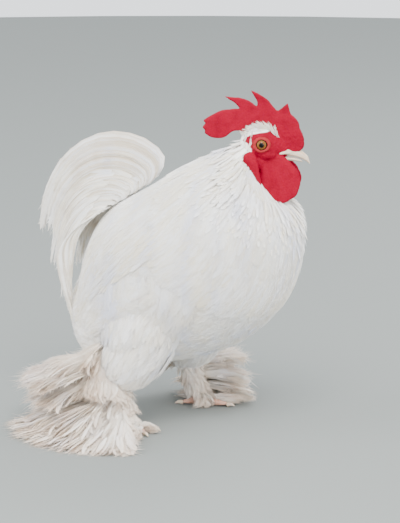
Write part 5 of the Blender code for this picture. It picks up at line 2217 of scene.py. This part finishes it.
    def rump(self) -> None:
        """Loose feathers under the tail and round the belly's end."""
        rows = Rows(
            (0.0, 1.0), (8.6, 10.86), (5.3, 5.0), 26, 10.0, (0.0, 0.9, 0.5),
            wander=1.5, spread=0.2, end=10.95, sink=2.2, seed=41,
        )
        self.lay("rump_fluff", body_carrier(self.bird), FeatherKind.PLUME, "body", rows)
        vent = Rows(
            (0.06, 0.94), (0.02, 0.66), (8.0, 8.0), 22, 12.0, (0.0, 1.2, 0.6),
            wander=1.5, spread=0.2, end=0.99, sink=0.8, seed=43,
        )
        self.lay("vent_fluff", vent_carrier(self.bird), FeatherKind.PLUME, "body", vent)

    def wings(self) -> None:
        """The folded wings: coverts, and two tiers of flight feathers."""
        coverts = Rows(
            (-1.05, 1.05), (-0.05, 0.62), (6.5, 7.0), 30, 11.0, (0.2, 0.2, 0.1), wander=0.5, sink=1.2, seed=51
        )
        flights = Rows(
            (-0.95, 0.95), (0.30, 0.62), (5.5, 14.0), 46, 11.0, (0.3, 0.3, 0.1),
            wander=0.3, spread=0.08, end=1.12, sink=0.5, seed=52,
        )
        for side in SIDES:
            carrier = WingShape().carrier(self.bird, side)
            self.lay(f"wing_feathers_{side}", carrier, FeatherKind.CONTOUR, "body", coverts, flights)

    def tail(self) -> None:
        """The tail: broad top feathers, sickles and the coverts that hide their roots."""

        def full(u: Array, v: Array) -> Array:
            """The rest of the arc's length."""
            return (176 - 66 * np.clip(u, 0, 1)) * (1 - v)

        layers = (
            Rows(
                (-0.03, 0.40), (0.0, 0.02), (0.9, 9.0), full, 12, (-0.3, 0.2, 0.2),
                wander=0.9, spread=0.06, end=1.03, seed=61, roll=0.26, tumble=0.3,
            ),
            Rows(
                (0.15, 1.02), (0.0, 0.30), (1.2, 10.0), full, 9.5, (0.0, 0.6, 0.4),
                wander=1.6, spread=0.06, end=1.07, seed=62, roll=0.22, tumble=0.4,
            ),
            Rows(
                (0.2, 1.2), (0.0, 0.55), (2.4, 8.0), 52, 7.5, (0.6, 0.6, 0.4),
                wander=1.4, spread=0.15, end=1.03, sink=1.6, seed=63, roll=0.10,
            ),
            Rows(
                (0.96, 1.32), (0.0, 0.16), (1.5, 9.0), 80, 8.5, (0.4, 0.9, 0.5),
                wander=1.8, spread=0.18, end=1.0, sink=1.0, seed=64, roll=0.18, tumble=0.4,
            ),
        )
        for side in SIDES:
            carrier = TailShape().carrier(self.bird, side)
            self.lay(f"tail_feathers_{side}", carrier, FeatherKind.SICKLE, "tail", *layers)

    def thighs(self) -> None:
        """Long loose feathers that join the flanks to the thighs."""
        rows = Rows(
            (0.0, 1.0), (0.0, 0.95), (5.0, 6.0), along(36, -16, 0.35, 0.9), 9, (0.2, 1.4, 0.7),
            wander=1.6, spread=0.2, end=0.98, sink=0.8, seed=71,
        )
        flank = Rows(
            (0.0, 1.0), (0.0, 0.93), (6.0, 6.5), along(34, -12, 0.5, 0.95), 11, (0.1, 0.9, 0.35),
            wander=1.4, spread=0.15, end=0.97, sink=0.8, seed=73,
        )
        for side in SIDES:
            line = np.array(LEGS.thigh_points(side)) + self.bird.origin
            carrier = limb_carrier(f"thigh_{side}", line, LEGS.thigh_radii(LEGS.form_inset))
            self.lay(f"thigh_feathers_{side}", carrier, FeatherKind.PLUME, "body", rows)
            sheet = FlankShape().carrier(self.bird, side)
            self.lay(f"flank_feathers_{side}", sheet, FeatherKind.PLUME, "body", flank)

    def boots(self) -> None:
        """The fans of long, frayed feathers on hocks, shanks and toes, over short ones."""
        for side in SIDES:
            pieces = [self.shank(side)]
            for k, (line, fan) in enumerate(boot_fans(self.bird, side)):
                pieces.append(self.fan(side, line, fan, k))
            for number, group in enumerate(np.array_split(np.arange(len(pieces)), 4), 1):
                merged = join_meshes(f"boot_feathers_{side}_{number}", [pieces[k] for k in group])
                report(dress(merged, self.finish["boot"], smooth=False), "boots")

    def shank(self, side: str) -> bpy.types.Object:
        """The short feathers that wrap one shank.

        Args:
            side: The leg's side.

        Returns:
            The feathers.
        """
        start, ankle = LEGS.thigh_points(side)[-2], LEGS.point(*LEGS.ankle, side)
        line = np.array([start + (ankle - start) * t for t in (0.0, 0.35, 0.7, 1.0)]) + self.bird.origin
        carrier = limb_carrier(f"shank_{side}", line, np.array([9.5, 9.0, 8.5, 8.0]) * MM)
        rows = Rows(
            (0.0, 1.0), (0.0, 0.8), (3.0, 3.5), 15, 6, (0.0, 3.0, 0.8),
            wander=1.5, spread=0.2, end=1.05, sink=2.0, seed=75,
        )
        coat = Coat(self.store, carrier, TILES["shank"])
        return coat.lay(carrier.name, FeatherKind.PLUME, self.finish["boot"], rows)

    def fan(self, side: str, line: tuple[Array, Array], fan: Fan, index: int) -> bpy.types.Object:
        """The feathers of one fan, in several rows, so that it is thick at its root.

        Args:
            side: The leg's side.
            line: The fan's first and last root.
            fan: The fan.
            index: Its number on the leg, which starts its random draws.

        Returns:
            The feathers.
        """
        carrier = fan.carrier(f"boot_{side}_{index}", side, line)
        gap = float(carrier.girth(np.array([0.5]), np.array([0.5]))[0]) / fan.count / MM
        size = {"wander": 4.0, "roll": math.tan(math.radians(fan.roll)) * 0.5, "tumble": 0.8}
        long = Rows(
            (0.0, 1.0), (0.0, 0.03), (gap * 0.07, 8), 0.97 * fan.length, fan.width, (0.5, 0.0, 2.6),
            spread=0.10, end=1.04, seed=80 + index, **size,
        )
        short = Rows(
            (-0.1, 1.1), (0.02, 0.66), (gap * 0.75, 6), 0.42 * fan.length, fan.width * 0.9, (0.8, 1.5, 3.2),
            spread=0.25, end=1.03, seed=95 + index, **size,
        )
        coat = Coat(self.store, carrier, TILES["fan"])
        return coat.lay(carrier.name, FeatherKind.BOOT, self.finish["boot"], long, short)

    def head(self) -> None:
        """The short feathers of crown, nape and throat, and the tufts over the ears."""
        carrier, bird = head_carrier(self.bird), self.bird

        def covered(u: Array, v: Array) -> Array:
            """Where the head is feathered: behind the face and over the eyes, beside the comb."""
            x, _, z = (bird.from_head(carrier.place(u, v)) / MM).T
            return ((z > np.interp(x, *zip(*Skin.face_top)) + 0.2) & (x < 7)) | (
                x < np.interp(z, *zip(*Skin.face_back)) - 0.2
            )

        def beside_comb(u: Array, v: Array) -> Array:
            """Where bristles stand against the comb."""
            x, y, z = (bird.from_head(carrier.place(u, v)) / MM).T
            return (z > np.interp(x, (-12, 8, 16), (6, 3, -2))) & (x < 15.0) & (x > -12.0) & (np.abs(y) < 5.5)

        rows = Rows(
            (0.0, 1.0), (0.1, 0.97), (1.3, 1.5), along(5.5, 8.0, 0.6, 0.95), 2.0, (0.35, 0.4, 0.15),
            wander=0.4, spread=0.2, end=1.0, sink=0.2, seed=121, where=covered,
        )
        bristles = Rows(
            (0.0, 1.0), (0.1, 0.85), (0.9, 0.9), 6.5, 0.8, (0.3, 3.6, 0.2),
            wander=0.6, spread=0.3, end=1.0, seed=122, where=beside_comb,
        )
        self.lay("head_feathers", carrier, FeatherKind.HACKLE, "hackle", rows, bristles)


# Places of the coats' carriers on the bake map: left, bottom, width, height
TILES = {
    "body": (0.02, 0.02, 0.5, 0.7),
    "vent": (0.76, 0.76, 0.2, 0.2),
    "wing": (0.55, 0.02, 0.2, 0.2),
    "tail": (0.55, 0.25, 0.2, 0.3),
    "thigh": (0.78, 0.02, 0.2, 0.2),
    "shank": (0.78, 0.25, 0.2, 0.2),
    "fan": (0.78, 0.5, 0.2, 0.2),
    "head": (0.02, 0.76, 0.3, 0.2),
}


def head_carrier(bird: Bird) -> Carrier:
    """The skull's form.

    Args:
        bird: The bird.

    Returns:
        The sheet. u runs round the skull from the top over the left side, v from the beak back.
    """
    table = np.array(
        [
            (21.0, -1.0, -11.6, 5.2),
            (18.0, 3.0, -12.6, 6.8),
            (13.0, 8.5, -14.0, 9.0),
            (7.0, 13.0, -15.2, 11.4),
            (0.0, 15.0, -16.0, 12.6),
            (-8.0, 14.2, -16.5, 12.8),
            (-14.0, 12.5, -17.5, 13.0),
            (-20.0, 11.5, -21.0, 14.6),
        ]
    )
    tree = spent_tree(copy_of("head"))

    def place(u: Array, v: Array) -> Array:
        """Places on the skull by turn and share of the length.

        Args:
            u: Turns round the skull.
            v: Shares of its length.

        Returns:
            Places, one row each.
        """
        u, v = paired(u, v)
        x, top, low, half = np.moveaxis(eased(table, np.clip(v, 0, 1) * (len(table) - 1)), -1, 0) * MM
        angle = 2 * math.pi * u
        z = (top + low) / 2 + (top - low) / 2 * np.cos(angle)
        flat = bird.on_head(np.stack([x, half * np.sin(angle), z], -1)).reshape(-1, 3)
        return np.array([tree.find_nearest(Vector(spot))[0] for spot in flat]).reshape(*u.shape, 3)

    return Carrier("head", place, (-0.3, 1.3), (0.0, 1.0), (90, 60))


def join_meshes(name: str, pieces: list[bpy.types.Object]) -> bpy.types.Object:
    """Joins finished meshes into one object and keeps their maps.

    Args:
        name: The joined object's name.
        pieces: The meshes.

    Returns:
        The first of them, with the others in it.
    """
    keep = pieces[0]
    with bpy.context.temp_override(active_object=keep, selected_editable_objects=pieces, object=keep):
        bpy.ops.object.join()
    keep.name = name
    return keep


def boot_fans(bird: Bird, side: str) -> list[tuple[tuple[Array, Array], Fan]]:
    """The fans of one leg, from the hock down to the toes.

    Args:
        bird: The bird.
        side: The leg's side.

    Returns:
        Each fan's first and last root, and the fan.
    """
    sign = SIDES[side]
    thigh_end = LEGS.thigh_points(side)[-1]
    hock, ankle = (LEGS.point(*place, side) for place in (LEGS.hock, LEGS.ankle))
    fans = []

    def add(start: Array, end: Array, fan: Fan) -> None:
        """Adds one fan with its line of roots."""
        fans.append(((bird.origin + start, bird.origin + end), fan))

    def at_hock(height: float, fan: Fan) -> None:
        """A fan at the hock, that many millimetres over it."""
        start, end = np.array((2.0, 2.5 * sign, height)), np.array((-4.0, -1.0 * sign, height))
        add(hock + start * MM, hock + end * MM, fan)

    def at_shank(share: float, fan: Fan) -> None:
        """A fan on the shank, at a share of its length."""
        spot = thigh_end + (ankle - thigh_end) * share
        add(spot + np.array((1.5, 1.0 * sign, 0)) * MM, spot + np.array((-1.5, 1.0 * sign, 0)) * MM, fan)

    def at_toe(toe: str, spread: tuple, length: float) -> None:
        """A fan along one toe.

        Args:
            toe: The toe.
            spread: Its first and last heading, in degrees from the toe's.
            length: Its length in millimetres.
        """
        out, reach = LEGS.toes[toe]
        out += LEGS.toe_turn[side]
        centre, ahead = LEGS.pad(ankle), LEGS.heading(side, out) * reach * MM
        fan = Fan((out + spread[0], out + spread[1]), length, (4, 0), 5.5, 4, 16)
        add(centre + ahead * 0.9, centre + ahead * 0.25, fan)

    if side == "right":
        at_hock(20.0, Fan((120, 190), 32.0, (22, 60), 9.0, 50, 14))
        at_hock(10.0, Fan((134, 180), 52.0, (0, 26), 8.5, 50, 16))
        at_hock(1.0, Fan((130, 182), 66.0, (2, 15), 8.5, 45, 22))
        at_hock(-8.0, Fan((122, 176), 62.0, (10, 22), 8.5, 45, 20))
        at_hock(16.0, Fan((66, 150), 38.0, (40, 70), 9.0, 50, 18))
        at_hock(6.0, Fan((48, 140), 40.0, (26, 56), 9.0, 50, 20))
        at_shank(0.12, Fan((16, 110), 30.0, (34, 62), 7.5, 30, 20))
        at_shank(0.30, Fan((100, 172), 76.0, (16, 18), 8.5, 40, 22))
        at_shank(0.50, Fan((96, 170), 84.0, (20, 14), 8.5, 40, 24))
        at_shank(0.62, Fan((80, 166), 86.0, (22, 10), 8.5, 35, 30))
        at_shank(0.74, Fan((74, 164), 94.0, (14, 6), 9.0, 30, 36))
        at_shank(0.82, Fan((10, 96), 20.0, (30, 60), 7.0, 30, 20))
    else:
        at_hock(-2.0, Fan((136, 176), 44.0, (10, 30), 8.0, 40, 14))
        at_hock(-8.0, Fan((128, 168), 44.0, (18, 36), 8.0, 40, 14))
        at_shank(0.14, Fan((22, 108), 56.0, (-16, 0), 8.5, 60, 24))
        at_shank(0.42, Fan((26, 100), 52.0, (-4, 10), 8.5, 55, 24))
        at_shank(0.74, Fan((26, 116), 50.0, (4, 10), 7.5, 35, 24))
        at_shank(0.62, Fan((-40, 40), 26.0, (34, 60), 7.5, 30, 20))
        at_shank(0.90, Fan((-40, 60), 22.0, (20, 44), 7.0, 30, 20))
        at_toe("middle", (-30, -8), 18.0)
    at_toe("inner", (50, 95), 13.0)
    at_toe("middle", (45, 85), 26.0)
    at_toe("outer", (20, 80), 34.0)
    return fans


# The stage


@dataclass(frozen=True)
class Studio:
    """The pale floor, the soft lights and the camera at the photograph's angle."""

    azimuth: float = 20.0
    height: float = 15.0
    distance: float = 3.0
    pixel: float = 0.000865
    width: int = 400
    sensor: float = 36.0
    aim: tuple = (8.65, 135.4)

    def floor(self, finish: bpy.types.Material) -> None:
        """A round floor about the bird.

        Args:
            finish: Its material.
        """
        angles = np.linspace(0, 2 * math.pi, 96, endpoint=False)
        ring = np.stack([np.cos(angles), np.sin(angles), np.zeros_like(angles)], -1)
        radii, count = (0.02, 0.5, 1.2, 2.4), len(angles)
        points = np.concatenate([ring * radius for radius in radii] + [np.zeros((1, 3))])
        faces = [(len(points) - 1, k, (k + 1) % count) for k in range(count)]
        faces += [face[::-1] for row in range(len(radii) - 1) for face in ring_faces(row * count, count)]
        floor = add_mesh("floor", points, faces)
        floor.data.materials.append(finish)

    def light(self, name: str, place: tuple, size: float, power: float, tint: tuple = (1, 1, 1)) -> None:
        """An area light that looks at the bird's middle.

        Args:
            name: The light's name.
            place: Where it hangs, in metres.
            size: Its disk's width in metres.
            power: Its power in watts.
            tint: Its colour.
        """
        data = bpy.data.lights.new(name, "AREA")
        data.shape, data.size, data.energy, data.color = "DISK", size, power, tint
        lamp = linked(name, data)
        lamp.location = place
        lamp.rotation_euler = (Vector(place) - Vector((0, 0, 0.15))).to_track_quat("Z", "Y").to_euler()

    def lights(self) -> None:
        """Bright shade from above with a soft key from the front."""
        world = bpy.data.worlds.new("sky")
        world.use_nodes = True
        ground = world.node_tree.nodes["Background"]
        ground.inputs["Color"].default_value = (0.92, 0.96, 1.0, 1.0)
        ground.inputs["Strength"].default_value = 2.0
        bpy.context.scene.world = world
        self.light("key", (0.5, -1.2, 1.6), 1.2, 60.0, (1.0, 0.985, 0.96))
        self.light("fill", (-1.4, -0.9, 0.9), 1.4, 26.0, (0.95, 0.97, 1.0))
        self.light("rim", (0.3, 1.4, 1.3), 0.9, 18.0)
        self.light("low", (1.3, -0.9, 0.4), 0.9, 16.0)

    def camera(self, bird: Bird) -> None:
        """The camera, at the photograph's angle and framing.

        Args:
            bird: The bird it looks at.
        """
        turn, rise = math.radians(self.azimuth), math.radians(self.height)
        back = Vector((math.sin(turn) * math.cos(rise), -math.cos(turn) * math.cos(rise), math.sin(rise)))
        right = Vector((math.cos(turn), math.sin(turn), 0))
        up = back.cross(right)
        data = bpy.data.cameras.new("camera")
        data.sensor_fit = "HORIZONTAL"
        data.sensor_width = self.sensor
        data.lens = self.distance / self.pixel * self.sensor / self.width
        camera = linked("camera", data)
        stand = Vector(bird.origin)
        camera.location = stand + back * self.distance
        away = camera.location - (stand + right * self.aim[0] * MM + up * self.aim[1] * MM)
        camera.rotation_euler = away.to_track_quat("Z", "Y").to_euler()
        bpy.context.scene.camera = camera


def main() -> None:
    """Builds the bird's looks, the stage and the camera."""
    logging.basicConfig(level=logging.INFO, format="%(message)s")
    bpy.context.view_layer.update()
    bird = Bird()
    flesh = ["torso", "neck", "head", "comb", "tail"]
    pairs = ("wattle", "earlobe", "thigh", "shank", "foot", "wing", "ear_tuft")
    flesh += [f"{part}_{side}" for side in SIDES for part in pairs]
    skin = Skin(bird).make(SkinFinish().make())
    report(skin, "comb", *flesh)
    eye_finish, horn = EyeFinish().make(), HornFinish().make()
    for side in SIDES:
        report(Eye(bird).make(side, eye_finish), "eye", f"eye_{side}")
    for node in [name for name in frame["nodes"] if name.startswith(("beak", "claw"))]:
        report(HornShape().make(node, horn, bird), "horn", node)
    # Each finish's edge value is painted shade at its feathers' overlapping edges.
    finish = {
        "hackle": FeatherFinish("hackle_feathers", warmth=1.0, barbs=30.0, edge=0.35).make(),
        "body": FeatherFinish("body_feathers", warmth=0.8, barbs=22.0, edge=0.2).make(),
        "saddle": FeatherFinish("saddle_feathers", warmth=1.0, barbs=30.0, edge=0.35).make(),
        # The tail's brown edges and patches are painted shade between its feathers.
        "tail": FeatherFinish(
            "tail_feathers", soil_and_shade=colour(0.58, 0.46, 0.31), warmth=1.0, barbs=60.0, soiling_and_shade=0.7, edge=0.8
        ).make(),
        # The boots' brown patches are partly dirt and partly painted shade.
        "boot": FeatherFinish(
            "boot_feathers", light=colour(0.97, 0.92, 0.85), warm=colour(0.93, 0.82, 0.68),
            painted_shade=colour(0.90, 0.87, 0.90), soil_and_shade=colour(0.66, 0.47, 0.33), warmth=1.0, barbs=34.0,
            soiling_and_shade=0.8, edge=0.3,
        ).make(),
    }
    plumage = Plumage(bird, FeatherStore(), finish)
    for lay in (
        plumage.body, plumage.rump, plumage.thighs, plumage.wings, plumage.tail, plumage.saddle,
        plumage.neck, plumage.head, plumage.boots,
    ):
        lay()
    plumage.store.clear()
    studio = Studio()
    studio.floor(FloorFinish().make())
    studio.lights()
    studio.camera(bird)


if __name__ == "__main__":
    main()
